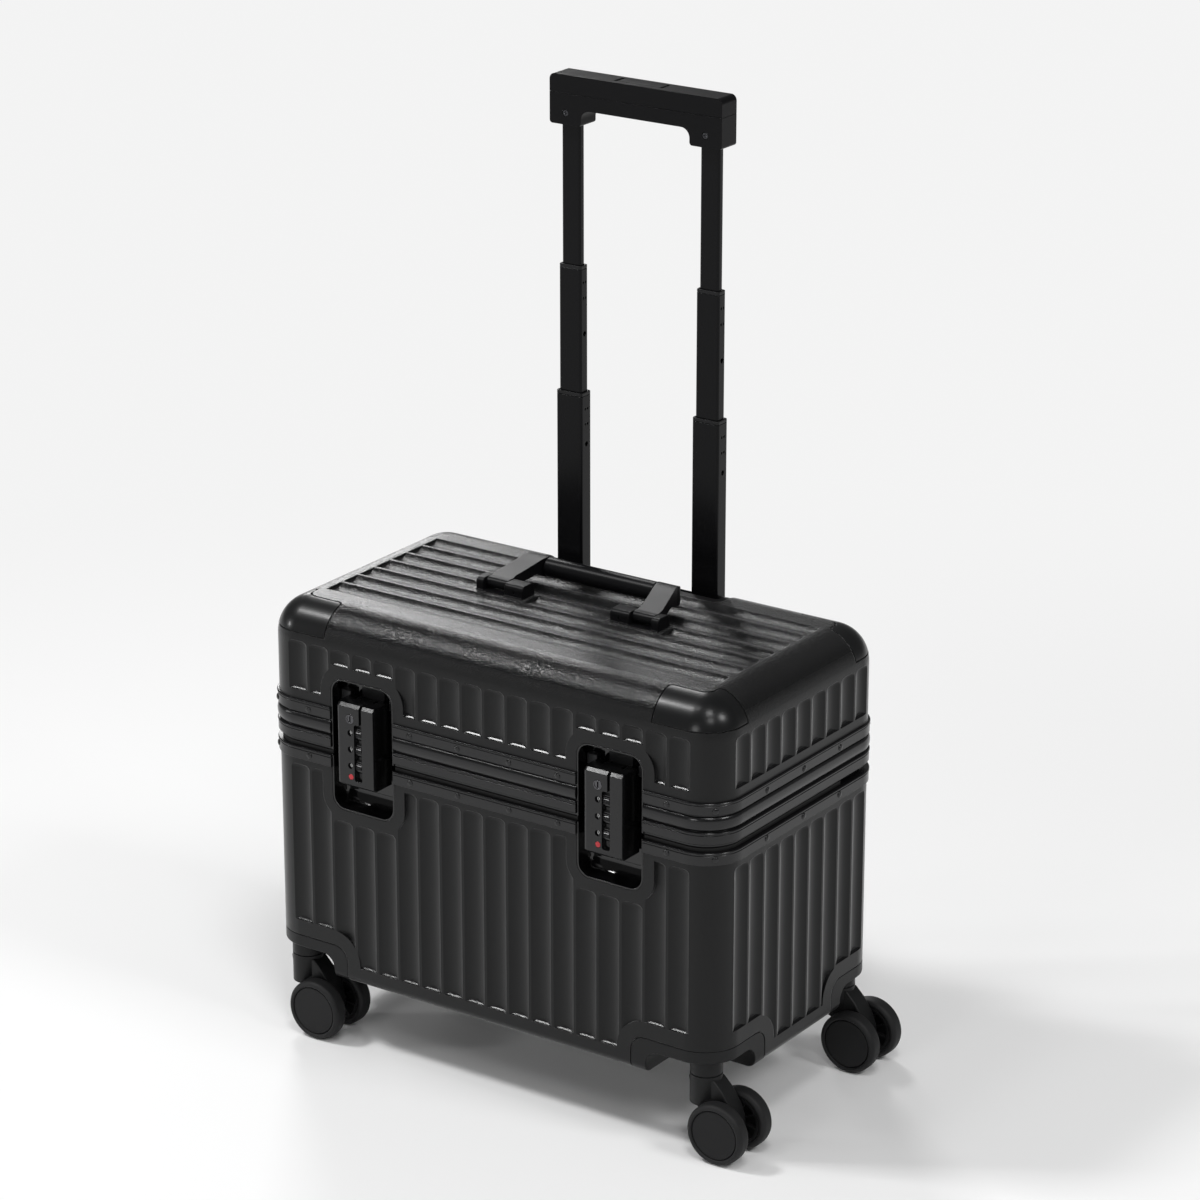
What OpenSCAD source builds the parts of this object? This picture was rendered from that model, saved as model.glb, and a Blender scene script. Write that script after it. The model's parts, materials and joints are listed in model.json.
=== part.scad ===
// Top-opening aluminium-framed carry-on case with a telescopic pull handle.
// Millimetres. +Z is up, the front with the two locks faces -Y, the floor is z = 0,
// and the origin is the centre of the case in plan, at floor level.

/* [Case] */
// Width across the aluminium rails
case_w = 444; // [420:1:480]
// Depth across the aluminium rails
case_d = 243; // [236:1:270]
// Outer radius of the rails at the four upright corners
rail_r = 33; // [30:1:38]
// How far the rails stand out from the shells
rail_proud = 2; // [1.6:0.1:3]
// Thickness of the shells at a ridge between two flutes
wall = 3; // [2.6:0.1:4]
// Height of the lower shell's underside above the floor
ground_gap = 60; // [58:0.5:66]
// Height of the lower half, from its underside to the top of its rail
lower_h = 199; // [180:1:230]
// Open gap between the two halves' rails
parting = 4.2; // [4:0.1:6]
// Height of the lid, from the bottom of its rail to its top
lid_h = 116.8; // [112:0.1:124]
// Radius of the lower shell's bottom edge
bottom_r = 8; // [6:0.5:12]
// Gap left between parts that are fastened together
seat = 0.2; // [0.1:0.05:0.3]
// Thickness of the fabric-covered lining
lining_t = 1.2; // [1:0.1:1.6]

/* [Flutes] */
// Distance from one flute to the next
flute_pitch = 21.7; // [21:0.1:23]
// Width of one flute
flute_w = 19; // [16:0.1:20]
// Depth of one flute
flute_depth = 1.5; // [1:0.1:1.6]
// Flutes across the front and the back
front_flutes = 18; // [14:1:18]
// Flutes down each side
side_flutes = 9; // [7:1:9]
// Flutes along the lid's top, in front of the handle bay
top_flutes = 7; // [5:1:7]
// Plain border left above the bottom edge of the lower shell
flute_floor = 16; // [12:0.5:20]
// Plain border left below the lower rail
flute_head = 5; // [3:0.5:8]
// Height of the flutes on the lid's sides
lid_flute_h = 42; // [36:1:44]
// Half length of the flutes on the lid's top
top_flute_x = 188.5; // [160:0.5:190]

/* [Rails] */
// Height of each riveted band
band_h = 11; // [10:0.5:12]
// Thickness of the rails' outer and inner legs
leg_t = 1.8; // [1.6:0.1:2]
// Height of the rounded nose below the lid's band
nose_h = 20.8; // [19:0.1:22]
// Height of the notch between the nose and the lid's band
notch_h = 2.8; // [2.4:0.1:3.4]
// How far the nose bulges out from the notch
nose_bulge = 2.2; // [1.6:0.1:3]
// Radius of a rivet's head
rivet_head_r = 2.7; // [2.2:0.1:3.2]
// Radius of a rivet's shank
rivet_r = 1.5; // [1.2:0.1:1.8]
// Height of the rubber seal above the lower rail
seal_h = 3; // [2:0.1:3.2]

/* [Corner pads] */
// Length of a corner pad along the front or back
pad_x = 62; // [50:1:66]
// Length of a corner pad along the side
pad_y = 41; // [38:1:48]
// Width of the pad's band on the lid's top
pad_band = 26; // [22:1:30]
// Height of a corner pad, down from the lid's top
pad_h = 23; // [20:0.5:26]

/* [Wheel guards] */
// Length of a wheel guard along the front or back
guard_x = 80; // [72:1:84]
// Length of a wheel guard along the side
guard_y = 70; // [64:1:74]
// Height of a wheel guard above the shell's underside
guard_h = 30.5; // [29:0.5:33]
// Radius of the guard's rounded upper corner
guard_r = 13; // [9:0.5:14]
// Thickness of the guard's closed inner end
guard_end = 14; // [12:0.5:18]
// Height of the wheel well under the guard
well_h = 20; // [18:0.5:21]
// Radius of the wheel well's arched corner
well_r = 12; // [8:0.5:16]

/* [Casters] */
// Distance from the centre to a swivel axis, across the case
swivel_x = 197.5; // [190:0.5:202]
// Distance from the centre to a swivel axis, front to back
swivel_y = 98.6; // [94:0.2:101]
// Radius of the fixed post and of the fork's neck
post_r = 13; // [11:0.5:14]
// Height of the seam between the post and the fork
swivel_z = 66.5; // [62:0.5:68]
// Radius of the swivel stem
stem_r = 4; // [3:0.1:5]
// Radial running clearance of stems, axles and pins
run = 0.08; // [0.05:0.01:0.1]
// Radius of a wheel
wheel_r = 25.5; // [22:0.5:27]
// Distance from the swivel axis to the wheel's axle
trail = 22; // [18:0.5:24]
// Width of one wheel
wheel_t = 14; // [12:0.5:15]
// Width between the two wheels of a caster
wheel_gap = 20; // [18:0.5:22]
// Radius of the plain disc on a wheel's side
disc_r = 20.5; // [16:0.5:21.5]
// Radius of the wheel's axle
axle_r = 3; // [2:0.1:4]

/* [Locks] */
// Distance from a lock's middle to the case's side
lock_edge = 102; // [96:1:110]
// Room beside a lock in its pocket
pocket_side = 12.6; // [12:0.2:15]
// Height of a lock's pocket
pocket_h = 113; // [106:1:118]
// Height of the pocket's centre above the lower rail's top
pocket_rise = 10.8; // [8:0.2:13]
// Depth of the pocket behind the shell's face
pocket_depth = 16.5; // [15:0.5:20]
// Corner radius of the pocket
pocket_r = 12; // [8:0.5:16]
// Thickness of the pocket's liner
liner_t = 1.5; // [1.2:0.1:2]
// Plain border of the shell around the pocket
pocket_border = 10; // [7:0.5:12]
// Width of the swinging lock body
lock_w = 36.8; // [34:0.2:40]
// Height of the swinging lock body
lock_h = 71; // [68:0.5:76]
// Depth of the swinging lock body
lock_d = 23.7; // [22:0.1:25]
// How far the lock body stands out from the shell's face
lock_proud = 10; // [8:0.5:11]
// Distance between two combination dials
dial_pitch = 14.1; // [13.6:0.1:15]
// Radius of a dial's thumb ring
dial_r = 6.2; // [5.6:0.1:6.4]
// Radius of the key cylinder
key_r = 4; // [3:0.1:4.4]

/* [Carry handle] */
// Distance from the centre to a bracket's outer face
bracket_x = 88.5; // [80:0.5:92]
// Width of a bracket
bracket_w = 46; // [42:0.5:50]
// Depth of a bracket
bracket_d = 17; // [15:0.5:20]
// Height of a bracket above the lid
bracket_h = 10.5; // [9.5:0.5:12]
// Width of the handle's arm at its hinge
arm_w = 20; // [16:0.5:22]
// Width of a bracket's outer ear
ear_w = 7; // [5:0.5:9]
// Distance of the grip behind the hinge
grip_reach = 43; // [38:0.5:46]
// Radius of the grip
grip_r = 8; // [6.5:0.1:8.5]
// Height of the grip's centre above the lid
grip_rise = 11.5; // [10.5:0.5:14]
// Height of the handle's hinge above the lid
handle_axis = 6; // [5.8:0.1:7]
// Radius of the handle's hinge pins
handle_pin_r = 2; // [1.5:0.1:2.2]

/* [Pull handle] */
// Thickness of the trolley housing beside the grip's cup
tower_side = 7; // [6:0.5:9]
// Depth from the case's back to the housing's front face
tower_d = 44.3; // [43:0.1:46]
// Gap between the housing and the lid's bay
bay_gap = 1; // [0.8:0.1:1.5]
// Distance from the grip's end to a tube's axis
tube_inset = 15.4; // [14.5:0.1:16]
// Distance from the case's back to the tubes' axes
tube_back = 22.35; // [22:0.05:22.7]
// Outer size of the widest moving tube, across
tube_w = 25; // [24:0.5:26]
// Outer size of the widest moving tube, front to back
tube_d = 14; // [13:0.5:15]
// Wall of the moving tubes
tube_t = 1.3; // [1:0.1:1.4]
// Sliding clearance between the tubes
tube_gap = 0.5; // [0.4:0.05:0.6]
// Travel of the widest tubes
travel_1 = 186.4; // [150:0.1:188]
// Travel of the middle tubes
travel_2 = 105.4; // [90:0.1:107]
// Travel of the narrow tubes
travel_3 = 115.5; // [100:0.1:117]
// Length of tube that stays inside the next one when pulled out
overlap = 48; // [40:1:52]
// Width of the grip at the top
pull_w = 163; // [156:0.5:166]
// Depth of the grip at the top
pull_d = 21; // [19:0.5:21.5]
// Height of the grip's jaws
pull_h = 40.5; // [38:0.5:42]
// Height of the grip's bar between its jaws
pull_bar_h = 27; // [24:0.5:29]
// Height of the grip's upper cover
pull_cap_h = 15; // [13:0.5:17]
// Width of each jaw
jaw_w = 30; // [28:0.5:32]
// Length of the release button
button_w = 41; // [34:1:46]
// Travel of the release button
button_travel = 3; // [2:0.5:3]

/* [Hidden] */
$fn = 64;

black = "#26272a";
satin = "#1d1e20";
gloss = "#0e0e10";
metal = "#2c2d30";
cloth = "#3a3b3e";
rubber = "#141415";
eps = 0.01;
far = 2;

// Heights that everything else is set from
rail_top = ground_gap + lower_h;
nose_z = rail_top + parting;
notch_z = nose_z + nose_h;
band_z = notch_z + notch_h;
lid_top = nose_z + lid_h;
lid_band_top = band_z + band_h + 2.2;

// The shells' outer faces
shell_w = case_w - 2 * rail_proud;
shell_d = case_d - 2 * rail_proud;
shell_r = rail_r - rail_proud;
leg_gap = seat;
frame_in = rail_proud + wall + seat + leg_t;
shell_top = rail_top - leg_t - seat;
lid_shell_z = notch_z + seat;
lid_shell_h = lid_top - lid_shell_z;
lower_shell_h = shell_top - ground_gap;

// The tower that carries the fixed tubes
tower_top = lid_top - 2;
tower_back = shell_d / 2 - 0.5;
tower_back_low = shell_d / 2 - wall - 0.3;
tower_r = 8;
tower_front_r = 4;
tower_wall = 2.5;
cup_x = pull_w / 2 + 1.5;
cup_d = pull_d + 2;
lock_x = case_w / 2 - lock_edge;
pocket_w = lock_w + 2 * pocket_side;
tower_x = cup_x + tower_side;
tower_y = case_d / 2 - tower_d;
tube_x = pull_w / 2 - tube_inset;
tube_y = case_d / 2 - tube_back;
bay_x = tower_x + bay_gap;
bay_y = tower_y - bay_gap;
bay_t = 2;
hinge_y = tower_y + 18.3;
hinge_z = lid_top - 9;
hinge_pin_r = 2;
hinge_boss_r = 4;
hinge_boss_l = 10;

// Pull handle, from the top down, pulled out
pull_stroke = travel_1 + travel_2 + travel_3;
pull_under = lid_top + 0.7 + pull_stroke - pull_h;
pull_top = pull_under + pull_h;
cup_z = pull_under - pull_stroke - 2.2;
step = 0.6;
middle_top = pull_under - travel_3 - step;
wide_top = middle_top - travel_2 - step;
tube_r = 2;
middle_w = tube_w - 2 * tube_t - 2 * tube_gap;
middle_d = tube_d - 2 * tube_t - 2 * tube_gap;
narrow_w = middle_w - 2 * tube_t - 2 * tube_gap;
narrow_d = middle_d - 2 * tube_t - 2 * tube_gap;
guide_w = tube_w + 2 * tube_gap + 2 * tube_t;
guide_d = tube_d + 2 * tube_gap + 2 * tube_t;
cup_floor_t = 3;
guide_top = cup_z - cup_floor_t - seat;
wide_bottom = guide_top - overlap;
middle_bottom = wide_top - overlap;
narrow_bottom = middle_top - overlap;
guide_bottom = ground_gap + wall + seat + tower_wall + seat;
socket_h = 14;
narrow_top = pull_under + socket_h;
collar_h = 3;
bar_z = pull_top - pull_bar_h;
cap_z = pull_top - pull_cap_h;
cavity_d = pull_d - 6;
button_d = 10;
button_h = 10;
cap_roof = 3;
rod_r = 1.1;

// Locks
face_y = -shell_d / 2;
pocket_z = rail_top + pocket_rise;
lock_face = face_y - lock_proud;
lock_back = lock_face + lock_d;
lock_z = rail_top - 19;
lock_top = lock_z + lock_h;
floor_y = face_y + pocket_depth;
hinge_lock_y = lock_back - 5.2;
hinge_lock_z = lock_top - 5;
lock_pin_r = 1.5;
barrel_r = 4.3;
barrel_l = 15;
ear_gap = 0.4;
lock_ear_t = 3;
bearing_gap = 0.6;
bearing_w = 10;
ring_w = 6;
ring_x = 2.6;
drum_w = 8;
drum_r = dial_r - 1;
dial_y = lock_face + dial_r + 0.6;
dial_z = lock_z + lock_h / 2 - 2.8;
dial_x = -4.6;
groove_x = 7;
dial_gap = 0.4;
stub_r = 1.4;
key_z = dial_z + dial_pitch + 12;
key_l = 12;

// Casters
fork_top = swivel_z - 0.5;
well_z = ground_gap + well_h;
guard_z = ground_gap + guard_h;
stem_top = guard_z - 3;
wheel_in = wheel_gap / 2;
web_t = wheel_gap - 3;

// Carry handle
axis_y = 1.5;
axis_z = lid_top + handle_axis;
knuckle_r = handle_axis - 1.3;
grip_y = axis_y + grip_reach;
grip_z = lid_top + grip_rise;
arm_out = bracket_x - ear_w - 0.4;
arm_in = arm_out - arm_w;
arm_shift = 8;
taper_y = axis_y + bracket_d / 2 + 1;
core_r = 4;

// A rounded rectangle centred on the origin
module rounded(w, d, r) {
    square([w - 2 * r, d], center = true);
    square([w, d - 2 * r], center = true);
    for (sx = [-1, 1], sy = [-1, 1])
        translate([sx * (w / 2 - r), sy * (d / 2 - r)]) circle(r = r);
}

// The outline of a box seen from its end, with its two upper corners rounded
module arch(w, h, e) {
    translate([-w / 2, 0]) square([w, h - e]);
    translate([-(w / 2 - e), 0]) square([w - 2 * e, h]);
    for (s = [-1, 1]) translate([s * (w / 2 - e), h - e]) circle(r = e);
}

// A box standing on z = 0 with upright corners of radius r and a top edge of radius e
module soft_block(w, d, h, r, e) {
    for (sx = [-1, 1], sy = [-1, 1])
        translate([sx * (w / 2 - r), sy * (d / 2 - r), 0])
            rotate_extrude() intersection() {
                arch(2 * r, h, e);
                square([r, h]);
            }
    translate([-(w / 2 - r), 0, 0]) rotate([90, 0, 90])
        linear_extrude(w - 2 * r) arch(d, h, e);
    translate([0, d / 2 - r, 0]) rotate([90, 0, 0])
        linear_extrude(d - 2 * r) arch(w, h, e);
}

// A profile, drawn with x outwards from the case's face, run round the case
module run_round() {
    long = case_w - 2 * rail_r;
    short = case_d - 2 * rail_r;
    for (turn = [0, 180]) rotate(turn) {
        translate([-long / 2, case_d / 2, 0]) rotate([90, 0, 90]) linear_extrude(long) children();
        translate([case_w / 2, short / 2, 0]) rotate([90, 0, 0]) linear_extrude(short) children();
    }
    for (corner = [[1, 1, 0], [-1, 1, 90], [-1, -1, 180], [1, -1, 270]])
        translate([corner[0] * long / 2, corner[1] * short / 2, 0]) rotate(corner[2])
            rotate_extrude(angle = 90) translate([rail_r, 0]) children();
}

// One flute's cutter, lying along +Z, with the shell's face at y = 0 and the shell towards +Y
module flute(length) {
    bow_r = (flute_w * flute_w / 4 + flute_depth * flute_depth) / (2 * flute_depth);
    linear_extrude(length) intersection() {
        translate([0, flute_depth - bow_r]) circle(r = bow_r, $fn = 180);
        translate([-flute_w / 2, -1]) square([flute_w, flute_depth + 1]);
    }
}

// Flutes on all four sides between two heights
module side_cutters(z0, z1) {
    for (turn = [0, 180]) rotate(turn) {
        for (i = [0 : front_flutes - 1])
            translate([(i - (front_flutes - 1) / 2) * flute_pitch, -shell_d / 2, z0]) flute(z1 - z0);
        for (i = [0 : side_flutes - 1])
            translate([shell_w / 2, (i - (side_flutes - 1) / 2) * flute_pitch, z0])
                rotate(90) flute(z1 - z0);
    }
}

// A rounded upright slab in the front face, for pockets and their borders
module pocket_slab(grow, y0, y1) {
    for (side = [-1, 1]) one_slab(side, grow, y0, y1);
}

module one_slab(side, grow, y0, y1) {
    translate([side * lock_x, y1, pocket_z]) rotate([90, 0, 0])
        linear_extrude(y1 - y0) rounded(pocket_w + 2 * grow, pocket_h + 2 * grow, pocket_r + grow);
}

// The places of the rivets, as positions on the case's outline with a turn outwards
rivet_front = [25, lock_x - pocket_w / 2 - 17.3, lock_x + pocket_w / 2 + 22.5];
rivet_side = case_d / 2 - rail_r - 35.3;
module rivet_places() {
    for (side = [-1, 1]) {
        for (x = rivet_front, s = [-1, 1])
            translate([s * x, side * case_d / 2, 0]) rotate(90 * side) children();
        for (y = [-rivet_side, 0, rivet_side])
            translate([side * case_w / 2, y, 0]) rotate(side > 0 ? 0 : 180) children();
        for (front = [-1, 1])
            translate([side * (case_w / 2 - rail_r), front * (case_d / 2 - rail_r), 0])
                rotate(front > 0 ? (side > 0 ? 45 : 135) : (side > 0 ? -45 : -135))
                    translate([rail_r, 0, 0]) children();
    }
}

module rivet() {
    length = frame_in + seat;
    rotate([0, 90, 0]) intersection() {
        translate([0, 0, -1.9]) sphere(r = 3.3);
        cylinder(r = rivet_head_r, h = 3);
    }
    translate([-length, 0, 0]) rotate([0, 90, 0]) cylinder(r = rivet_r, h = length + 0.4);
}

module rivet_hole() {
    translate([-frame_in - far, 0, 0]) rotate([0, 90, 0])
        cylinder(r = rivet_r + 0.1, h = frame_in + far + 0.05);
}

// Rivets that a bay or a lock would break are left out
module rivet_row(z) {
    difference() {
        translate([0, 0, z]) rivet_places() rivet();
        translate([-bay_x - 4, 0, z - 5]) cube([2 * bay_x + 8, case_d, 10]);
    }
}

// The wheel guards' shape in one corner: what the shell gives up and the guard fills
module guard_zone(sx, sy, grow) {
    intersection() {
        translate([0, case_d / 2 + far, 0]) rotate([90, 0, 0]) linear_extrude(case_d + 2 * far)
            guard_outline(sx * (shell_w / 2 - guard_x), sx, grow);
        translate([-case_w / 2 - far, 0, 0]) rotate([90, 0, 90]) linear_extrude(case_w + 2 * far)
            guard_outline(sy * (shell_d / 2 - guard_y), sy, grow);
    }
}

// The room over one wheel, with an arched corner towards the middle of the case
module well_zone(x, y) {
    intersection() {
        translate([0, case_d / 2 + far, 0]) rotate([90, 0, 0]) linear_extrude(case_d + 2 * far)
            well_outline(x);
        translate([-case_w / 2 - far, 0, 0]) rotate([90, 0, 90]) linear_extrude(case_w + 2 * far)
            well_outline(y);
    }
}

module well_outline(edge) {
    reach = 120;
    translate([edge, 0]) {
        square([reach, well_z - well_r]);
        translate([well_r, 0]) square([reach - well_r, well_z]);
        translate([well_r, well_z - well_r]) circle(r = well_r);
    }
}

module guard_outline(edge, s, grow) {
    reach = 120;
    low = ground_gap - 10;
    r = guard_r + grow;
    mirror([s > 0 ? 0 : 1, 0]) translate([abs(edge) - grow, 0]) {
        translate([0, low]) square([reach, guard_z - guard_r - low]);
        translate([r, low]) square([reach - r, guard_z + grow - low]);
        translate([r, guard_z - guard_r]) circle(r = r);
    }
}

// The pads' shape in one upper corner of the lid
module pad_zone(sx, sy, grow) {
    x0 = shell_w / 2 - pad_x - grow;
    y0 = shell_d / 2 - pad_y - grow;
    xb = shell_w / 2 - pad_band - grow;
    yb = shell_d / 2 - pad_band - grow;
    mirror([sx > 0 ? 0 : 1, 0, 0]) mirror([0, sy > 0 ? 0 : 1, 0])
        translate([0, 0, lid_top - pad_h - grow]) linear_extrude(pad_h + far + grow) {
            translate([x0, yb]) square([pad_x + far, pad_band + far]);
            translate([xb, y0]) square([pad_band + far, pad_y + far]);
            difference() {
                translate([xb - 8, yb - 8]) square([8 + eps, 8 + eps]);
                translate([xb - 8, yb - 8]) circle(r = 8);
            }
        }
}

// Plan of the trolley housing, grown outwards, as an upright slab
module tower_slab(grow, z0, z1, back) {
    front = tower_y - grow;
    translate([0, (front + back) / 2, z0]) linear_extrude(z1 - z0) {
        rounded(2 * (tower_x + grow), back - front, tower_r + grow);
        translate([-(tower_x + grow), 0]) square([2 * (tower_x + grow), (back - front) / 2]);
    }
}

// Lower half

module lower_shell() {
    color(black) difference() {
        translate([0, 0, shell_top]) mirror([0, 0, 1])
            soft_block(shell_w, shell_d, lower_shell_h, shell_r, bottom_r);
        translate([0, 0, shell_top + eps]) mirror([0, 0, 1])
            soft_block(shell_w - 2 * wall, shell_d - 2 * wall, lower_shell_h - wall + eps,
                       shell_r - wall, bottom_r - wall);
        difference() {
            side_cutters(ground_gap + flute_floor, rail_top - band_h - flute_head);
            pocket_slab(pocket_border, -case_d, 0);
            for (sx = [-1, 1], sy = [-1, 1]) guard_zone(sx, sy, 13);
        }
        pocket_slab(seat, -case_d, 0);
        for (sx = [-1, 1], sy = [-1, 1]) guard_zone(sx, sy, seat);
        translate([0, 0, rail_top - band_h / 2]) rivet_places() rivet_hole();
    }
}

module rail_breaks() {
    for (side = [-1, 1])
        translate([side * lock_x - pocket_w / 2 - seat, -case_d, 0])
            cube([pocket_w + 2 * seat, case_d, lid_top]);
}

module lower_frame() {
    color(metal) difference() {
        run_round() {
            translate([-leg_t, rail_top - band_h]) square([leg_t, band_h]);
            translate([-frame_in, rail_top - leg_t]) square([frame_in, leg_t]);
            translate([-frame_in, rail_top - band_h - 2]) square([leg_t, band_h + 2]);
        }
        rail_breaks();
        tower_slab(0.4, 0, lid_top, case_d);
        translate([0, 0, rail_top - band_h / 2]) rivet_places() rivet_hole();
    }
}

module lower_rivets() {
    color(metal) rivet_row(rail_top - band_h / 2);
}

module rubber_seal() {
    seal_end = 60;
    color(rubber) difference() {
        run_round() translate([-frame_in + 0.5, rail_top]) square([2.6, seal_h]);
        rail_breaks();
        translate([-case_w, seal_end, 0]) cube([2 * case_w, case_d, lid_top]);
    }
}

module lower_lining() {
    inset = wall + seat + leg_t + 0.3;
    top = rail_top - 3;
    h = top - ground_gap - wall - 0.3;
    color(cloth) difference() {
        translate([0, 0, top]) mirror([0, 0, 1])
            soft_block(shell_w - 2 * inset, shell_d - 2 * inset, h, shell_r - inset, bottom_r - wall);
        translate([0, 0, top + eps]) mirror([0, 0, 1])
            soft_block(shell_w - 2 * inset - 2 * lining_t, shell_d - 2 * inset - 2 * lining_t,
                       h - lining_t + eps, shell_r - inset - lining_t, bottom_r - wall - lining_t);
        for (sx = [-1, 1], sy = [-1, 1]) guard_zone(sx, sy, 0.8);
        pocket_slab(liner_t + 0.5, -case_d, 0);
        tower_slab(0.5, 0, lid_top, case_d);
    }
}

module guard(sx, sy) {
    well_x = shell_w / 2 - guard_x + guard_end;
    well_y = shell_d / 2 - guard_y + guard_end;
    color(satin) difference() {
        union() {
            intersection() {
                guard_zone(sx, sy, 0);
                translate([0, 0, shell_top]) mirror([0, 0, 1])
                    soft_block(shell_w, shell_d, lower_shell_h, shell_r, bottom_r);
            }
            translate([sx * swivel_x, sy * swivel_y, swivel_z]) cylinder(r = post_r, h = well_z - swivel_z + 1);
        }
        difference() {
            mirror([sx > 0 ? 0 : 1, 0, 0]) mirror([0, sy > 0 ? 0 : 1, 0])
                well_zone(well_x, well_y);
            translate([sx * swivel_x, sy * swivel_y, swivel_z]) cylinder(r = post_r, h = lid_top);
        }
        translate([sx * swivel_x, sy * swivel_y, 0]) cylinder(r = stem_r + run, h = stem_top + 0.5);
    }
}

module lower_pocket(side) {
    color(gloss) difference() {
        one_slab(side, 0, face_y, floor_y + liner_t);
        one_slab(side, -liner_t, face_y - far, floor_y);
        translate([side * lock_x - pocket_w, -case_d, rail_top]) cube([2 * pocket_w, case_d, case_d]);
    }
}

module trolley_housing() {
    low = ground_gap + wall + seat;
    color(satin) difference() {
        union() {
            intersection() {
                tower_slab(0, low, shell_top + seat, tower_back_low);
                translate([-tower_x - far, tower_back_low - case_d / 2, 0]) rotate([90, 0, 90])
                    linear_extrude(2 * tower_x + 2 * far) translate([0, shell_top + seat])
                        mirror([0, 1]) arch(case_d, shell_top + seat - low, bottom_r - wall + 1);
            }
            intersection() {
                tower_slab(0, shell_top + seat, tower_top, tower_back);
                translate([-tower_x - far, 0, 0]) rotate([90, 0, 90]) linear_extrude(2 * tower_x + 2 * far)
                    intersection() {
                        arch(2 * tower_back, tower_top, shell_r - 3);
                        translate([tower_y + case_d / 2, 0]) arch(case_d, tower_top, tower_front_r);
                    }
            }
        }
        // The hollow that holds the outer tubes
        tower_slab(-tower_wall, low + tower_wall, cup_z - cup_floor_t, tower_back_low - tower_wall);
        // The cup that the grip sinks into
        translate([0, tube_y, cup_z]) linear_extrude(lid_top) rounded(2 * cup_x, cup_d, 4);
        for (side = [-1, 1]) {
            translate([side * tube_x, tube_y, cup_z - cup_floor_t - far]) linear_extrude(lid_top)
                rounded(tube_w + 2 * tube_gap, tube_d + 2 * tube_gap, tube_r);
            translate([side * (tower_x + far), hinge_y, hinge_z]) rotate([0, -90 * side, 0])
                cylinder(r = hinge_pin_r + run, h = far + tower_x - cup_x - 1);
        }
    }
}

// A pair of rectangular tubes, one on each side
module tube_pair(w, d, t, z0, z1) {
    for (side = [-1, 1])
        translate([side * tube_x, tube_y, z0]) linear_extrude(z1 - z0) difference() {
            rounded(w, d, tube_r);
            rounded(w - 2 * t, d - 2 * t, tube_r - t / 2);
        }
}

module outer_tubes() {
    color(metal) tube_pair(guide_w, guide_d, tube_t, guide_bottom, guide_top);
}

// Lid

module lid_skin() {
    difference() {
        translate([0, 0, lid_shell_z]) soft_block(shell_w, shell_d, lid_shell_h, shell_r, shell_r);
        translate([0, 0, lid_shell_z - eps])
            soft_block(shell_w - 2 * wall, shell_d - 2 * wall, lid_shell_h - wall + eps,
                       shell_r - wall, shell_r - wall);
    }
}

module bracket_feet(grow) {
    for (side = [-1, 1])
        translate([side * (bracket_x - bracket_w / 2), axis_y, 0])
            translate([-bracket_w / 2 - grow, -bracket_d / 2 - grow, lid_top - 5])
                cube([bracket_w + 2 * grow, bracket_d + 2 * grow, 10]);
}

module lid_shell() {
    first = 8;
    color(black) difference() {
        lid_skin();
        difference() {
            side_cutters(lid_band_top + first, lid_band_top + first + lid_flute_h);
            pocket_slab(pocket_border, -case_d, 0);
        }
        difference() {
            for (i = [0 : top_flutes - 1])
                translate([-top_flute_x, (i - (top_flutes - 1) / 2) * flute_pitch, lid_top])
                    rotate([0, 90, 0]) rotate(-90) flute(2 * top_flute_x);
            bracket_feet(4);
        }
        for (sx = [-1, 1], sy = [-1, 1]) pad_zone(sx, sy, seat);
        pocket_slab(seat, -case_d, 0);
        tower_slab(bay_gap, 0, lid_top + far, case_d);
        translate([0, 0, band_z + band_h / 2 + 1]) rivet_places() rivet_hole();
    }
}

module lid_frame() {
    nose_bow = (nose_h * nose_h / 4 + nose_bulge * nose_bulge) / (2 * nose_bulge);
    color(metal) difference() {
        run_round() {
            difference() {
                intersection() {
                    translate([-nose_bow, nose_z + nose_h / 2]) circle(r = nose_bow, $fn = 180);
                    translate([-frame_in, nose_z]) square([frame_in, nose_h]);
                }
                translate([-frame_in + leg_t, nose_z + leg_t])
                    square([frame_in - leg_t - nose_bulge - leg_t, nose_h - 2 * leg_t]);
            }
            translate([-leg_t, notch_z - 1.5]) square([leg_t - 0.8, notch_h + 2]);
            translate([-leg_t, band_z]) square([leg_t, lid_band_top - band_z]);
            translate([-frame_in, nose_z]) square([leg_t, lid_band_top - nose_z + 2]);
        }
        rail_breaks();
        tower_slab(bay_gap, 0, lid_top, case_d);
        translate([0, 0, band_z + band_h / 2 + 1]) rivet_places() rivet_hole();
    }
}

module lid_rivets() {
    color(metal) rivet_row(band_z + band_h / 2 + 1);
}

module lid_lining() {
    inset = wall + seat + leg_t + 0.3;
    z0 = nose_z + 1;
    h = lid_top - wall - 0.3 - z0;
    color(cloth) difference() {
        translate([0, 0, z0])
            soft_block(shell_w - 2 * inset, shell_d - 2 * inset, h, shell_r - inset, shell_r - inset);
        translate([0, 0, z0 - eps])
            soft_block(shell_w - 2 * inset - 2 * lining_t, shell_d - 2 * inset - 2 * lining_t,
                       h - lining_t + eps, shell_r - inset - lining_t, shell_r - inset - lining_t);
        pocket_slab(liner_t + 0.5, -case_d, 0);
        tower_slab(bay_gap + bay_t + 0.5, 0, lid_top, case_d);
        for (side = [-1, 1])
            translate([side * bay_x, hinge_y, hinge_z]) rotate([0, 90 * side, 0])
                cylinder(r = hinge_boss_r + 0.6, h = bay_t + hinge_boss_l + 0.6);
    }
}

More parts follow.
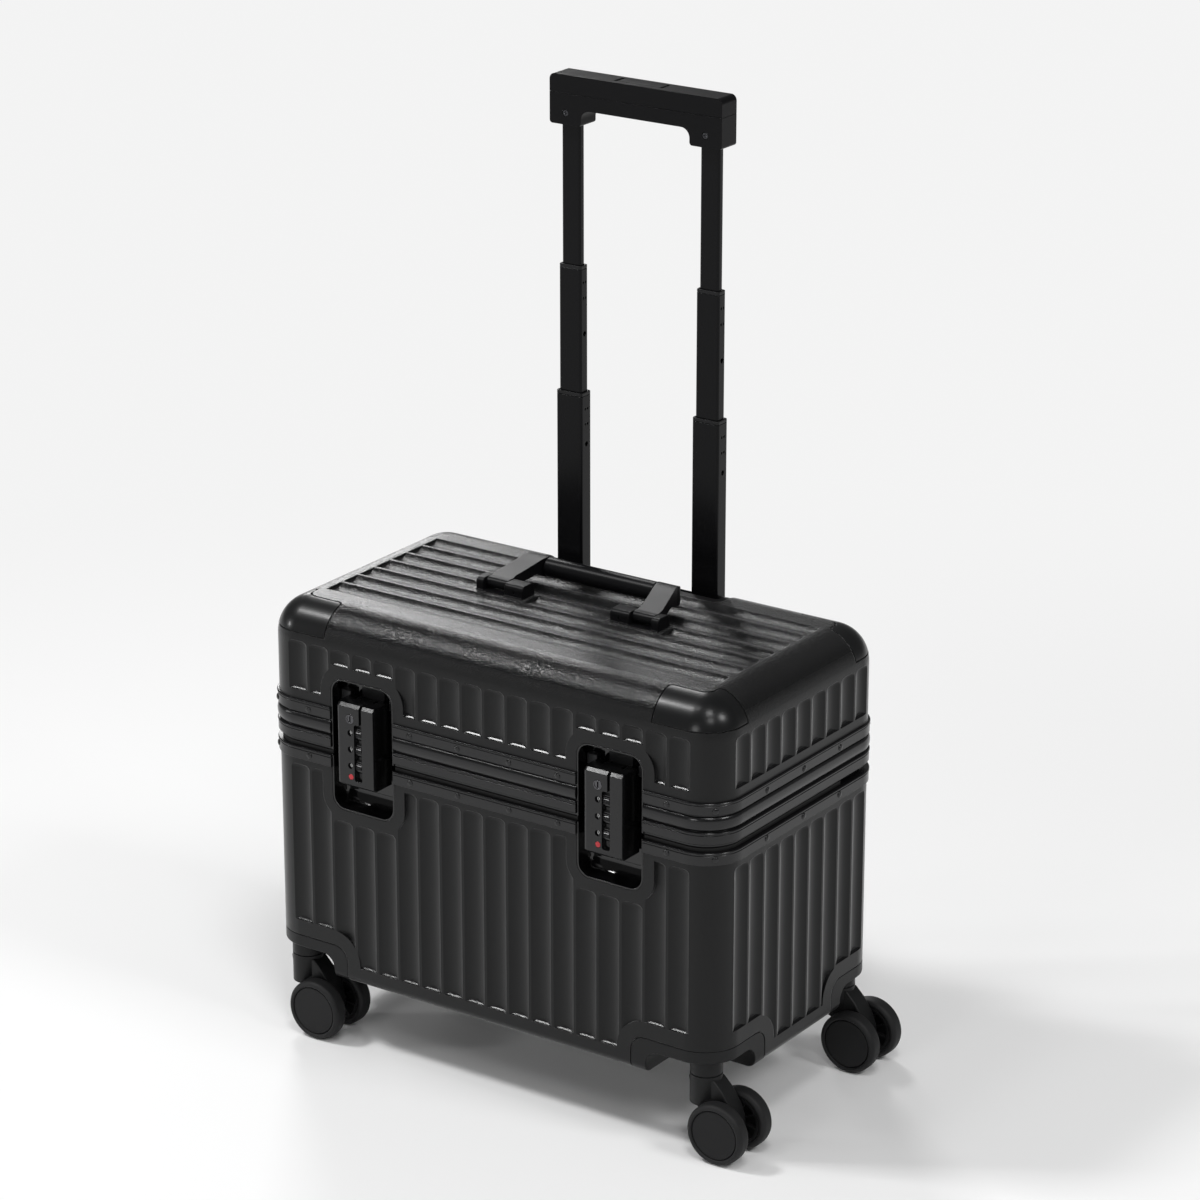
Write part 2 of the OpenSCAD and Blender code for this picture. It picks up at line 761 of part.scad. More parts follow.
// The wall of the lid's bay round the trolley housing, with the hinge bosses
module lid_bay_liner() {
    z0 = nose_z + 1;
    inset = wall + 0.3;
    color(satin) difference() {
        union() {
            intersection() {
                tower_slab(bay_gap + bay_t, z0, lid_top, case_d);
                translate([0, 0, z0]) soft_block(shell_w - 2 * inset, shell_d - 2 * inset - 5,
                    lid_top - wall - 0.3 - z0, shell_r - inset, shell_r - inset);
            }
            for (side = [-1, 1])
                translate([side * bay_x, hinge_y, hinge_z]) rotate([0, 90 * side, 0])
                    cylinder(r = hinge_boss_r, h = bay_t + hinge_boss_l);
        }
        tower_slab(bay_gap, 0, lid_top + far, case_d);
        for (side = [-1, 1])
            translate([side * (bay_x - far), hinge_y, hinge_z]) rotate([0, 90 * side, 0])
                cylinder(r = hinge_pin_r + run, h = far + bay_t + hinge_boss_l - 1);
    }
}

module lid_hinge_pins() {
    inner = cup_x + 1.4;
    outer = bay_x + bay_t + hinge_boss_l - 1.4;
    color("silver") for (side = [-1, 1])
        translate([side * inner, hinge_y, hinge_z]) rotate([0, 90 * side, 0])
            cylinder(r = hinge_pin_r, h = outer - inner);
}

module pad(sx, sy) {
    color(satin) intersection() {
        lid_skin();
        pad_zone(sx, sy, 0);
    }
}

module lid_pocket(side) {
    color(gloss) difference() {
        one_slab(side, 0, face_y, floor_y + liner_t);
        one_slab(side, -liner_t, face_y - far, floor_y);
        translate([side * lock_x - pocket_w, -case_d, 0]) cube([2 * pocket_w, case_d, nose_z]);
    }
}

module lock_bracket(side) {
    plate_w = barrel_l + 2 * ear_gap + 2 * lock_ear_t;
    base = floor_y - 1;
    color(metal) translate([side * lock_x, 0, 0]) {
        translate([-plate_w / 2, base, hinge_lock_z - 8]) cube([plate_w, 1, 24]);
        for (s = [-1, 1]) translate([s * (plate_w - lock_ear_t) / 2, 0, 0]) {
            translate([-lock_ear_t / 2, hinge_lock_y, hinge_lock_z - 3.5])
                cube([lock_ear_t, base - hinge_lock_y + 0.5, 7]);
            translate([-lock_ear_t / 2, hinge_lock_y, hinge_lock_z]) rotate([0, 90, 0])
                cylinder(r = 3.5, h = lock_ear_t);
        }
        translate([-plate_w / 2, hinge_lock_y, hinge_lock_z]) rotate([0, 90, 0])
            cylinder(r = lock_pin_r, h = plate_w);
        // Bearing blocks beside the lock body
        for (s = [-1, 1]) translate([s * (lock_w / 2 + bearing_gap + bearing_w / 2), 0, 0]) {
            translate([-bearing_w / 2, base - 5, lock_top - 7]) cube([bearing_w, 6, 9.5]);
        }
        for (s = [-1, 1]) translate([s > 0 ? 0 : -lock_w / 2 - bearing_gap - 1, base, lock_top - 7])
            cube([lock_w / 2 + bearing_gap + 1, 1, 9.5]);
    }
}

module handle_brackets() {
    for (side = [-1, 1]) color(satin) mirror([side > 0 ? 0 : 1, 0, 0]) difference() {
        union() {
            bracket_ear(bracket_x - ear_w, bracket_x);
            bracket_ear(bracket_x - bracket_w, arm_in - 0.4);
            translate([bracket_x - bracket_w, axis_y - bracket_d / 2, lid_top]) cube([bracket_w, bracket_d, 0.9]);
        }
        translate([bracket_x - bracket_w + 2, axis_y, axis_z]) rotate([0, 90, 0])
            cylinder(r = handle_pin_r + run, h = bracket_w - 4);
    }
}

module bracket_ear(x0, x1) {
    translate([x0, axis_y, lid_top]) rotate([90, 0, 90]) linear_extrude(x1 - x0)
        arch(bracket_d, bracket_h, 4);
}

module handle_pins() {
    color("silver") for (side = [-1, 1]) mirror([side > 0 ? 0 : 1, 0, 0])
        translate([bracket_x - bracket_w + 2.3, axis_y, axis_z]) rotate([0, 90, 0])
            cylinder(r = handle_pin_r, h = bracket_w - 4.6);
}

// Locks

module lock_body(side) {
    notch = barrel_l / 2 + 2 * ear_gap + lock_ear_t + 0.2;
    color(gloss) translate([side * lock_x, 0, 0]) difference() {
        union() {
            difference() {
                translate([-lock_w / 2, lock_face, lock_z]) cube([lock_w, lock_d, lock_h]);
                translate([-notch, hinge_lock_y - 5.4, hinge_lock_z - 6]) cube([2 * notch, 30, 40]);
                // The upper back edge is cut round, so that it clears the pocket as it swings
                difference() {
                    translate([-lock_w, hinge_lock_y, hinge_lock_z]) cube([2 * lock_w, 20, 20]);
                    translate([-lock_w, hinge_lock_y, hinge_lock_z]) rotate([0, 90, 0])
                        cylinder(r = 5, h = 2 * lock_w);
                }
                // Chamfered front edges
                for (z = [lock_z, lock_top]) translate([0, lock_face, z]) rotate([45, 0, 0])
                    cube([lock_w + far, 3.2, 3.2], center = true);
                // The thumb groove
                translate([ring_x - ring_w / 2 - 0.3, lock_face - far, dial_z - 1.5 * dial_pitch])
                    cube([groove_x - ring_x + ring_w / 2 + 0.3, far + 3.4, 3 * dial_pitch + 1]);
                translate([groove_x - 2.6, lock_face - far, lock_z + 6]) cube([2.6, far + 3.4, lock_h]);
            }
            translate([-barrel_l / 2, hinge_lock_y, hinge_lock_z]) rotate([0, 90, 0])
                cylinder(r = barrel_r, h = barrel_l);
            translate([-barrel_l / 2, hinge_lock_y - 6, hinge_lock_z - barrel_r]) cube([barrel_l, 6, 2 * barrel_r]);
        }
        translate([-notch, hinge_lock_y, hinge_lock_z]) rotate([0, 90, 0])
            cylinder(r = lock_pin_r + run, h = 2 * notch);
        for (i = [-1, 0, 1]) dial_space(dial_z + i * dial_pitch);
        translate([dial_x, lock_face - far, key_z]) rotate([-90, 0, 0])
            cylinder(r = key_r + run, h = far + key_l + 0.3);
    }
}

module dial_space(z) {
    translate([0, dial_y, z]) rotate([0, 90, 0]) {
        translate([0, 0, ring_x - ring_w / 2 - dial_gap]) cylinder(r = dial_r + dial_gap, h = ring_w + 2 * dial_gap);
        translate([0, 0, ring_x - ring_w / 2 - drum_w - dial_gap]) cylinder(r = drum_r + dial_gap, h = drum_w + 1);
        translate([0, 0, ring_x - ring_w / 2 - drum_w - 2.2]) cylinder(r = stub_r + run, h = drum_w + ring_w + 4.4);
    }
    translate([dial_x, lock_face - far, z]) rotate([-90, 0, 0]) cylinder(r = 2.5, h = far + 3);
}

// A combination dial: a numbered drum beside a knurled thumb ring
module dial(side, i) {
    teeth = 20;
    color(metal) translate([side * lock_x, dial_y, dial_z + i * dial_pitch]) rotate([0, 90, 0]) {
        difference() {
            translate([0, 0, ring_x - ring_w / 2]) cylinder(r = dial_r, h = ring_w);
            for (a = [0 : 360 / teeth : 359]) rotate(a)
                translate([dial_r + 0.2, 0, ring_x - ring_w / 2 - 1]) cylinder(r = 0.6, h = ring_w + 2, $fn = 16);
        }
        translate([0, 0, ring_x - ring_w / 2 - drum_w]) cylinder(r = drum_r, h = drum_w + 1);
        translate([0, 0, ring_x - ring_w / 2 - drum_w - 1.8]) cylinder(r = stub_r, h = drum_w + ring_w + 3.6);
    }
}

module key_cylinder(side) {
    color("dimgray") translate([side * lock_x + dial_x, lock_face - 0.3, key_z]) difference() {
        rotate([-90, 0, 0]) cylinder(r = key_r, h = key_l);
        translate([-0.6, -1, -2.4]) cube([1.2, 6, 4.8]);
    }
}

// Carry handle

module carry_arms() {
    color(satin) difference() {
        union() {
            for (side = [-1, 1]) mirror([side > 0 ? 0 : 1, 0, 0]) {
                intersection() {
                    translate([0, 0, lid_top - 5]) linear_extrude(60) polygon([
                        [arm_in, axis_y - 6], [arm_out, axis_y - 6], [arm_out, taper_y],
                        [arm_out - arm_shift, grip_y], [arm_out - arm_shift, grip_y + 9],
                        [arm_in - arm_shift, grip_y + 9], [arm_in - arm_shift, grip_y], [arm_in, taper_y]
                    ]);
                    translate([arm_in - 20, 0, 0]) rotate([90, 0, 90]) linear_extrude(arm_w + 40) arm_side();
                }
            }
            translate([-arm_in, grip_y, grip_z]) rotate([0, 90, 0]) cylinder(r = core_r, h = 2 * arm_in);
        }
        for (side = [-1, 1]) translate([side * (arm_in + arm_out) / 2, axis_y, axis_z]) rotate([0, 90, 0])
            cylinder(r = handle_pin_r + run, h = arm_w + far, center = true);
    }
}

// The arm seen from the side: a round knuckle, a rising flat top and a round end at the grip
module arm_side() {
    translate([axis_y, axis_z]) circle(r = knuckle_r);
    translate([grip_y, grip_z]) circle(r = grip_r + 0.4);
    polygon([
        [axis_y, axis_z + knuckle_r], [axis_y + 4, axis_z + knuckle_r], [grip_y - 12, grip_z + grip_r - 2],
        [grip_y, grip_z + grip_r + 0.4], [grip_y, grip_z - grip_r + 1], [grip_y - 12, grip_z - 4],
        [axis_y, axis_z - knuckle_r + 0.6]
    ]);
}

module carry_grip() {
    half = arm_in - arm_shift - seat;
    color(satin) translate([-half, grip_y, grip_z]) rotate([0, 90, 0]) difference() {
        cylinder(r = grip_r, h = 2 * half);
        translate([0, 0, -far]) cylinder(r = core_r + 0.1, h = 2 * half + 2 * far);
    }
}

// Pull handle

// Tubes with a plastic collar at their upper end
module stage(w, d, z0, z1, inner_w, inner_d) {
    color(metal) tube_pair(w, d, tube_t, z0, z1 - collar_h);
    color("#3c3d40") tube_pair_open(w, d, inner_w + 0.6, inner_d + 0.6, z1 - collar_h + 0.05, z1);
}

module tube_pair_open(w, d, iw, id, z0, z1) {
    for (side = [-1, 1])
        translate([side * tube_x, tube_y, z0]) linear_extrude(z1 - z0) difference() {
            rounded(w, d, tube_r);
            rounded(iw, id, tube_r - tube_t / 2);
        }
}

module wide_tubes() {
    stage(tube_w, tube_d, wide_bottom, wide_top, middle_w, middle_d);
}

module middle_tubes() {
    stage(middle_w, middle_d, middle_bottom, middle_top, narrow_w, narrow_d);
}

module narrow_tubes() {
    color(metal) for (side = [-1, 1])
        translate([side * tube_x, tube_y, narrow_bottom]) linear_extrude(narrow_top - narrow_bottom)
            difference() {
                rounded(narrow_w, narrow_d, tube_r);
                rounded(narrow_w - 2 * tube_t, narrow_d - 2 * tube_t, tube_r - tube_t / 2);
            }
}

// The outline of the whole grip seen from the front
module grip_front() {
    r = 5;
    translate([0, pull_top - pull_bar_h / 2]) rounded(pull_w, pull_bar_h, r);
    for (side = [-1, 1])
        translate([side * (pull_w - jaw_w) / 2, pull_under + pull_h / 2]) rounded(jaw_w, pull_h, r / 2);
    difference() {
        translate([-pull_w / 2 + jaw_w - 2, bar_z - 8]) square([pull_w - 2 * jaw_w + 4, 10]);
        translate([0, bar_z - 10]) rounded(pull_w - 2 * jaw_w, 20, 8);
    }
}

// The whole grip as a solid block with a rounded top
module grip_block() {
    intersection() {
        translate([0, tube_y + pull_d / 2, 0]) rotate([90, 0, 0]) linear_extrude(pull_d) grip_front();
        translate([-pull_w, tube_y, pull_under]) rotate([90, 0, 90]) linear_extrude(2 * pull_w)
            arch(pull_d, pull_h, 5);
    }
}

module pull_grip() {
    color(satin) difference() {
        grip_block();
        translate([-pull_w, 0, cap_z]) cube([2 * pull_w, 2 * case_d, pull_h]);
        translate([-pull_w / 2 + 4, tube_y - cavity_d / 2, bar_z + 4]) cube([pull_w - 8, cavity_d, pull_h]);
        for (side = [-1, 1]) translate([side * tube_x, tube_y, pull_under - far]) {
            linear_extrude(far + socket_h + 0.1) rounded(narrow_w + seat, narrow_d + seat, tube_r);
            cylinder(r = rod_r + 0.5, h = pull_h + far);
            translate([0, -pull_d / 2 - 1, far + 9.5]) rotate([-90, 0, 0]) {
                cylinder(r = 2.9, h = 2.6);
                cylinder(r = 1.4, h = 6);
            }
        }
    }
}

module pull_cap() {
    color(satin) difference() {
        grip_block();
        translate([-pull_w, 0, 0]) cube([2 * pull_w, 2 * case_d, cap_z + 0.05]);
        translate([-pull_w / 2 + 4, tube_y - cavity_d / 2, cap_z - 1])
            cube([pull_w - 8, cavity_d, pull_cap_h - cap_roof + 1]);
        translate([-button_w / 2 - 0.4, tube_y - button_d / 2 - 0.4, cap_z])
            cube([button_w + 0.8, button_d + 0.8, pull_h]);
    }
}

module pull_screws() {
    color("gray") for (side = [-1, 1])
        translate([side * tube_x, tube_y - pull_d / 2 + 0.1, pull_under + 9.5]) rotate([-90, 0, 0]) difference() {
            union() {
                cylinder(r = 2.6, h = 1.3);
                cylinder(r = 1.2, h = 4.6);
            }
            for (turn = [0, 90]) rotate(turn) translate([-1.6, -0.3, -0.1]) cube([3.2, 0.6, 0.9]);
        }
}

module release_button() {
    flange = 3;
    color(gloss) {
        translate([-button_w / 2, tube_y - button_d / 2, pull_top - button_h]) cube([button_w, button_d, button_h]);
        translate([-button_w / 2 - flange, tube_y - button_d / 2 - 1, pull_top - cap_roof - 3.3])
            cube([button_w + 2 * flange, button_d + 2, 3]);
    }
}

module release_rods() {
    bar_top = pull_top - button_h - 0.05;
    bar_h = 3;
    color("silver") {
        translate([-tube_x - 3, tube_y - 3, bar_top - bar_h]) cube([2 * tube_x + 6, 6, bar_h]);
        for (side = [-1, 1])
            translate([side * tube_x, tube_y, narrow_bottom + button_travel + 4])
                cylinder(r = rod_r, h = bar_top - bar_h - narrow_bottom - button_travel - 3.9);
    }
}

// Casters, all trailing towards +X

module at_caster(sx, sy) {
    translate([sx * swivel_x, sy * swivel_y, 0]) children();
}

module fork(sx, sy) {
    color(satin) at_caster(sx, sy) difference() {
        union() {
            difference() {
                translate([0, 0, wheel_r + 16]) cylinder(r = post_r, h = fork_top - wheel_r - 16);
                for (s = [-1, 1]) translate([trail, s * (web_t / 2 + 25), wheel_r]) rotate([90, 0, 0])
                    cylinder(r = wheel_r + 0.8, h = 50, center = true);
            }
            translate([0, web_t / 2, 0]) rotate([90, 0, 0]) linear_extrude(web_t) {
                polygon([
                    [-post_r + 1.5, fork_top - 2], [post_r - 1.5, fork_top - 2], [trail + 6, wheel_r + 18],
                    [trail + 9, wheel_r], [trail - 9, wheel_r - 4], [-post_r + 4, wheel_r + 16]
                ]);
                translate([trail, wheel_r]) circle(r = 10);
            }
            translate([0, 0, wheel_r + 22]) cylinder(r = stem_r, h = stem_top - wheel_r - 22);
        }
        translate([trail, 0, wheel_r]) rotate([90, 0, 0])
            cylinder(r = axle_r + run, h = wheel_gap * 2, center = true);
    }
}

module wheel_pair(sx, sy) {
    out = wheel_in + wheel_t;
    at_caster(sx, sy) translate([trail, 0, wheel_r]) rotate([90, 0, 0]) {
        color(satin) {
            translate([0, 0, -wheel_in - 1]) cylinder(r = axle_r, h = 2 * wheel_in + 2);
            for (s = [0, 1]) mirror([0, 0, s]) translate([0, 0, wheel_in]) {
                cylinder(r = disc_r - seat, h = wheel_t - 1);
            }
        }
        color(rubber) for (s = [0, 1]) mirror([0, 0, s]) translate([0, 0, wheel_in]) tyre();
    }
}

// A tyre with rounded shoulders
module tyre() {
    soft = 3;
    rotate_extrude() difference() {
        union() {
            translate([disc_r, 0]) square([wheel_r - disc_r - soft, wheel_t]);
            translate([disc_r, soft]) square([wheel_r - disc_r, wheel_t - 2 * soft]);
            for (y = [soft, wheel_t - soft]) translate([wheel_r - soft, y]) circle(r = soft);
        }
        translate([-1, -1]) square([disc_r + 1, wheel_t + 2]);
    }
}

lower_shell();
lower_frame();
lower_rivets();
lower_lining();
rubber_seal();
guard(-1, -1);  // guard_front_left
guard(1, -1);  // guard_front_right
guard(-1, 1);  // guard_rear_left
guard(1, 1);  // guard_rear_right
lower_pocket(-1);  // lower_pocket_left
lower_pocket(1);  // lower_pocket_right
trolley_housing();
outer_tubes();
lid_shell();
lid_frame();
lid_rivets();
lid_lining();
lid_bay_liner();
lid_hinge_pins();
pad(-1, -1);  // pad_front_left
pad(1, -1);  // pad_front_right
pad(-1, 1);  // pad_rear_left
pad(1, 1);  // pad_rear_right
lid_pocket(-1);  // lid_pocket_left
lid_pocket(1);  // lid_pocket_right
lock_bracket(-1);  // lock_bracket_left
lock_bracket(1);  // lock_bracket_right
handle_brackets();
handle_pins();
lock_body(-1);  // lock_left
lock_body(1);  // lock_right
key_cylinder(-1);  // key_cylinder_left
key_cylinder(1);  // key_cylinder_right
dial(-1, 1);  // dial_left_1
dial(-1, 0);  // dial_left_2
dial(-1, -1);  // dial_left_3
dial(1, 1);  // dial_right_1
dial(1, 0);  // dial_right_2
dial(1, -1);  // dial_right_3
carry_arms();
carry_grip();
wide_tubes();
middle_tubes();
narrow_tubes();
pull_grip();
pull_cap();
pull_screws();
release_button();
release_rods();
fork(-1, -1);  // fork_front_left
fork(1, -1);  // fork_front_right
fork(-1, 1);  // fork_rear_left
fork(1, 1);  // fork_rear_right
wheel_pair(-1, -1);  // wheels_front_left
wheel_pair(1, -1);  // wheels_front_right
wheel_pair(-1, 1);  // wheels_rear_left
wheel_pair(1, 1);  // wheels_rear_right
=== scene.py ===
import json
import math
import bpy
from mathutils import Matrix, Vector


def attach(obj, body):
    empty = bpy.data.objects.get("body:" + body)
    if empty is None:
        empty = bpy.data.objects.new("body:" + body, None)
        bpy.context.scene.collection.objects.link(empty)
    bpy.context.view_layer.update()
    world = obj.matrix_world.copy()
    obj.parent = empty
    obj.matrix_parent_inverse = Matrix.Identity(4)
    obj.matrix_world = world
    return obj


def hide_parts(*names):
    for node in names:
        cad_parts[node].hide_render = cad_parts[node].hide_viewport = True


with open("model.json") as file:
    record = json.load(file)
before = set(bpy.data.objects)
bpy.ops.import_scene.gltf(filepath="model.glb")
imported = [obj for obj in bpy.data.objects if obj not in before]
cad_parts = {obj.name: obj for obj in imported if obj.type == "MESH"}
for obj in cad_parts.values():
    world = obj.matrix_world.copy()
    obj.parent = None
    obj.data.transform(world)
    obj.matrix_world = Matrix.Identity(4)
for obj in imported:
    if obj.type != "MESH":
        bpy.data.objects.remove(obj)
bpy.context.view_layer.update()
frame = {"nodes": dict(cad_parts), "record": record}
mm = 0.001
scene = bpy.context.scene

# Camera, as fitted to the photograph
view = dict(
    turn=34.638,  # degrees round to the right of the front
    rise=20.065,  # degrees above the case
    place=(1.84165, -2.62480, 1.55800),
    lens=128.445,  # on a 36 mm wide sensor
)


def addCamera():
    turn, rise = math.radians(view["turn"]), math.radians(view["rise"])
    forward = Vector((-math.sin(turn) * math.cos(rise), math.cos(turn) * math.cos(rise), -math.sin(rise)))
    bpy.ops.object.camera_add(location=view["place"])
    camera = bpy.context.object
    camera.rotation_euler = forward.to_track_quat("-Z", "Y").to_euler()
    camera.data.lens = view["lens"]
    camera.data.sensor_width = 36
    camera.data.clip_end = 50
    scene.camera = camera


# Modelling helpers: each works on the one active piece, in edit mode where it needs to
def activate(piece):
    if bpy.context.object and bpy.context.object.mode != "OBJECT":
        bpy.ops.object.mode_set(mode="OBJECT")
    bpy.ops.object.select_all(action="DESELECT")
    piece.select_set(True)
    bpy.context.view_layer.objects.active = piece


def deselectAll():
    if bpy.context.object and bpy.context.object.mode != "OBJECT":
        bpy.ops.object.mode_set(mode="OBJECT")
    bpy.ops.object.select_all(action="DESELECT")


def settle(piece):
    # Puts the piece's place into its mesh
    activate(piece)
    bpy.ops.object.transform_apply(location=True, rotation=True, scale=True)
    return piece


def block(name, low, high):
    # A box between two corners, in millimetres
    deselectAll()
    middle = [(a + b) / 2 * mm for a, b in zip(low, high)]
    bpy.ops.mesh.primitive_cube_add(size=1, location=middle)
    piece = bpy.context.object
    piece.name = name
    piece.dimensions = [(b - a) * mm for a, b in zip(low, high)]
    return settle(piece)


def rod(name, start, axis, radius, length, sides=64):
    # A round bar from a start point along an axis letter, in millimetres
    deselectAll()
    step = Vector({"X": (1, 0, 0), "Y": (0, 1, 0), "Z": (0, 0, 1)}[axis])
    turn = {"X": (0, math.pi / 2, 0), "Y": (math.pi / 2, 0, 0), "Z": (0, 0, 0)}[axis]
    bpy.ops.mesh.primitive_cylinder_add(
        vertices=sides, radius=radius * mm, depth=length * mm, rotation=turn,
        location=(Vector(start) + step * length / 2) * mm)
    piece = bpy.context.object
    piece.name = name
    return settle(piece)


def pickEdges(piece, test):
    # Selects the edges whose two ends, in millimetres, pass the test
    activate(piece)
    bpy.ops.object.mode_set(mode="EDIT")
    bpy.ops.mesh.select_mode(type="EDGE")
    bpy.ops.mesh.select_all(action="DESELECT")
    bpy.ops.object.mode_set(mode="OBJECT")
    points = [v.co / mm for v in piece.data.vertices]
    for edge in piece.data.edges:
        edge.select = bool(test(points[edge.vertices[0]], points[edge.vertices[1]]))
    bpy.ops.object.mode_set(mode="EDIT")


def pickFaces(piece, test):
    # Selects the faces whose middle, in millimetres, and normal pass the test
    activate(piece)
    bpy.ops.object.mode_set(mode="EDIT")
    bpy.ops.mesh.select_mode(type="FACE")
    bpy.ops.mesh.select_all(action="DESELECT")
    bpy.ops.object.mode_set(mode="OBJECT")
    for face in piece.data.polygons:
        face.select = bool(test(face.center / mm, face.normal))
    bpy.ops.object.mode_set(mode="EDIT")


def roundEdges(piece, test, radius, segments=6):
    pickEdges(piece, test)
    bpy.ops.mesh.bevel(offset=radius * mm, segments=segments, profile=0.5, clamp_overlap=False)
    bpy.ops.object.mode_set(mode="OBJECT")
    return piece


def upright(a, b):
    return abs(a.x - b.x) < 0.01 and abs(a.y - b.y) < 0.01


def applyModifier(piece, kind, **settings):
    activate(piece)
    modifier = piece.modifiers.new(kind.title(), kind)
    for key, value in settings.items():
        setattr(modifier, key, value)
    bpy.ops.object.modifier_apply(modifier=modifier.name)
    return piece


def cut(piece, cutter, operation="DIFFERENCE", keep=False):
    applyModifier(piece, "BOOLEAN", object=cutter, operation=operation, solver="EXACT")
    if not keep:
        bpy.data.objects.remove(cutter)
    return piece


def joined(pieces, name=None):
    activate(pieces[0])
    for piece in pieces:
        piece.select_set(True)
    if len(pieces) > 1:
        bpy.ops.object.join()
    if name:
        pieces[0].name = name
    return pieces[0]


def copyOf(piece, name=None, shift=(0, 0, 0)):
    twin = piece.copy()
    twin.data = piece.data.copy()
    scene.collection.objects.link(twin)
    twin.name = name or piece.name
    twin.data.transform(Matrix.Translation(Vector(shift) * mm))
    return twin


def mirrored(piece, name, sides):
    # A copy turned over across the planes x = 0 and y = 0, for each side that is -1
    twin = copyOf(piece, name)
    activate(twin)
    twin.scale = (sides[0], sides[1], 1)
    settle(twin)
    if sides[0] * sides[1] < 0:
        bpy.ops.object.mode_set(mode="EDIT")
        bpy.ops.mesh.select_all(action="SELECT")
        bpy.ops.mesh.flip_normals()
        bpy.ops.object.mode_set(mode="OBJECT")
    return twin


def softEdges(piece, width=0.5, segments=2, angle=35):
    return applyModifier(piece, "BEVEL", width=width * mm, segments=segments, limit_method="ANGLE",
                         angle_limit=math.radians(angle), harden_normals=False, use_clamp_overlap=True)


def smooth(piece, angle=30):
    activate(piece)
    bpy.ops.object.shade_smooth_by_angle(angle=math.radians(angle))
    return piece


def finished(piece, name, body, material, replaces=(), angle=30):
    smooth(piece, angle)
    applyModifier(piece, "WEIGHTED_NORMAL", weight=60, keep_sharp=True)
    piece.name = name
    piece.data.materials.clear()
    piece.data.materials.append(material)
    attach(piece, body)
    if replaces:
        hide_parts(*replaces)
    return piece


def arc(middle, radius, start, end, steps=8):
    # Points along part of a circle, between two angles in degrees
    angles = [math.radians(start + (end - start) * i / steps) for i in range(steps + 1)]
    return [(middle[0] + radius * math.cos(a), middle[1] + radius * math.sin(a)) for a in angles]


def sheet(name, outline, axis, low, high):
    # A piece with a drawn outline between two levels along an axis; the outline is in the other two
    deselectAll()
    bpy.ops.mesh.primitive_circle_add(vertices=len(outline), fill_type="NGON")
    piece = bpy.context.object
    piece.name = name
    for vertex, (a, b) in zip(piece.data.vertices, outline):
        vertex.co = Vector({"X": (low, a, b), "Y": (a, low, b), "Z": (a, b, low)}[axis]) * mm
    step = Vector({"X": (1, 0, 0), "Y": (0, 1, 0), "Z": (0, 0, 1)}[axis]) * (high - low) * mm
    bpy.ops.object.mode_set(mode="EDIT")
    bpy.ops.mesh.select_all(action="SELECT")
    bpy.ops.mesh.extrude_region_move(TRANSFORM_OT_translate={"value": step})
    bpy.ops.mesh.select_all(action="SELECT")
    bpy.ops.mesh.normals_make_consistent(inside=False)
    bpy.ops.object.mode_set(mode="OBJECT")
    return piece


def turned(name, outline, steps=96):
    # A ring turned round the Y axis from a closed outline of radius and place along the axis
    deselectAll()
    bpy.ops.mesh.primitive_circle_add(vertices=len(outline))
    piece = bpy.context.object
    piece.name = name
    for vertex, (radius, along) in zip(piece.data.vertices, outline):
        vertex.co = Vector((radius, along, 0)) * mm
    applyModifier(piece, "SCREW", axis="Y", steps=steps, render_steps=steps, use_merge_vertices=True,
                  merge_threshold=0.00001)
    activate(piece)
    bpy.ops.object.mode_set(mode="EDIT")
    bpy.ops.mesh.select_all(action="SELECT")
    bpy.ops.mesh.normals_make_consistent(inside=False)
    bpy.ops.object.mode_set(mode="OBJECT")
    return piece


def barBetween(name, middle, width, depth, low, high, radius):
    # An upright bar with rounded corners round a middle in plan
    x, y = middle
    piece = block(name, (x - width / 2, y - depth / 2, low), (x + width / 2, y + depth / 2, high))
    return roundEdges(piece, upright, radius, 6)


# Materials
def newMaterial(name):
    material = bpy.data.materials.new(name)
    material.use_nodes = True
    nodes = material.node_tree.nodes
    return material, nodes, material.node_tree.links, nodes["Principled BSDF"]


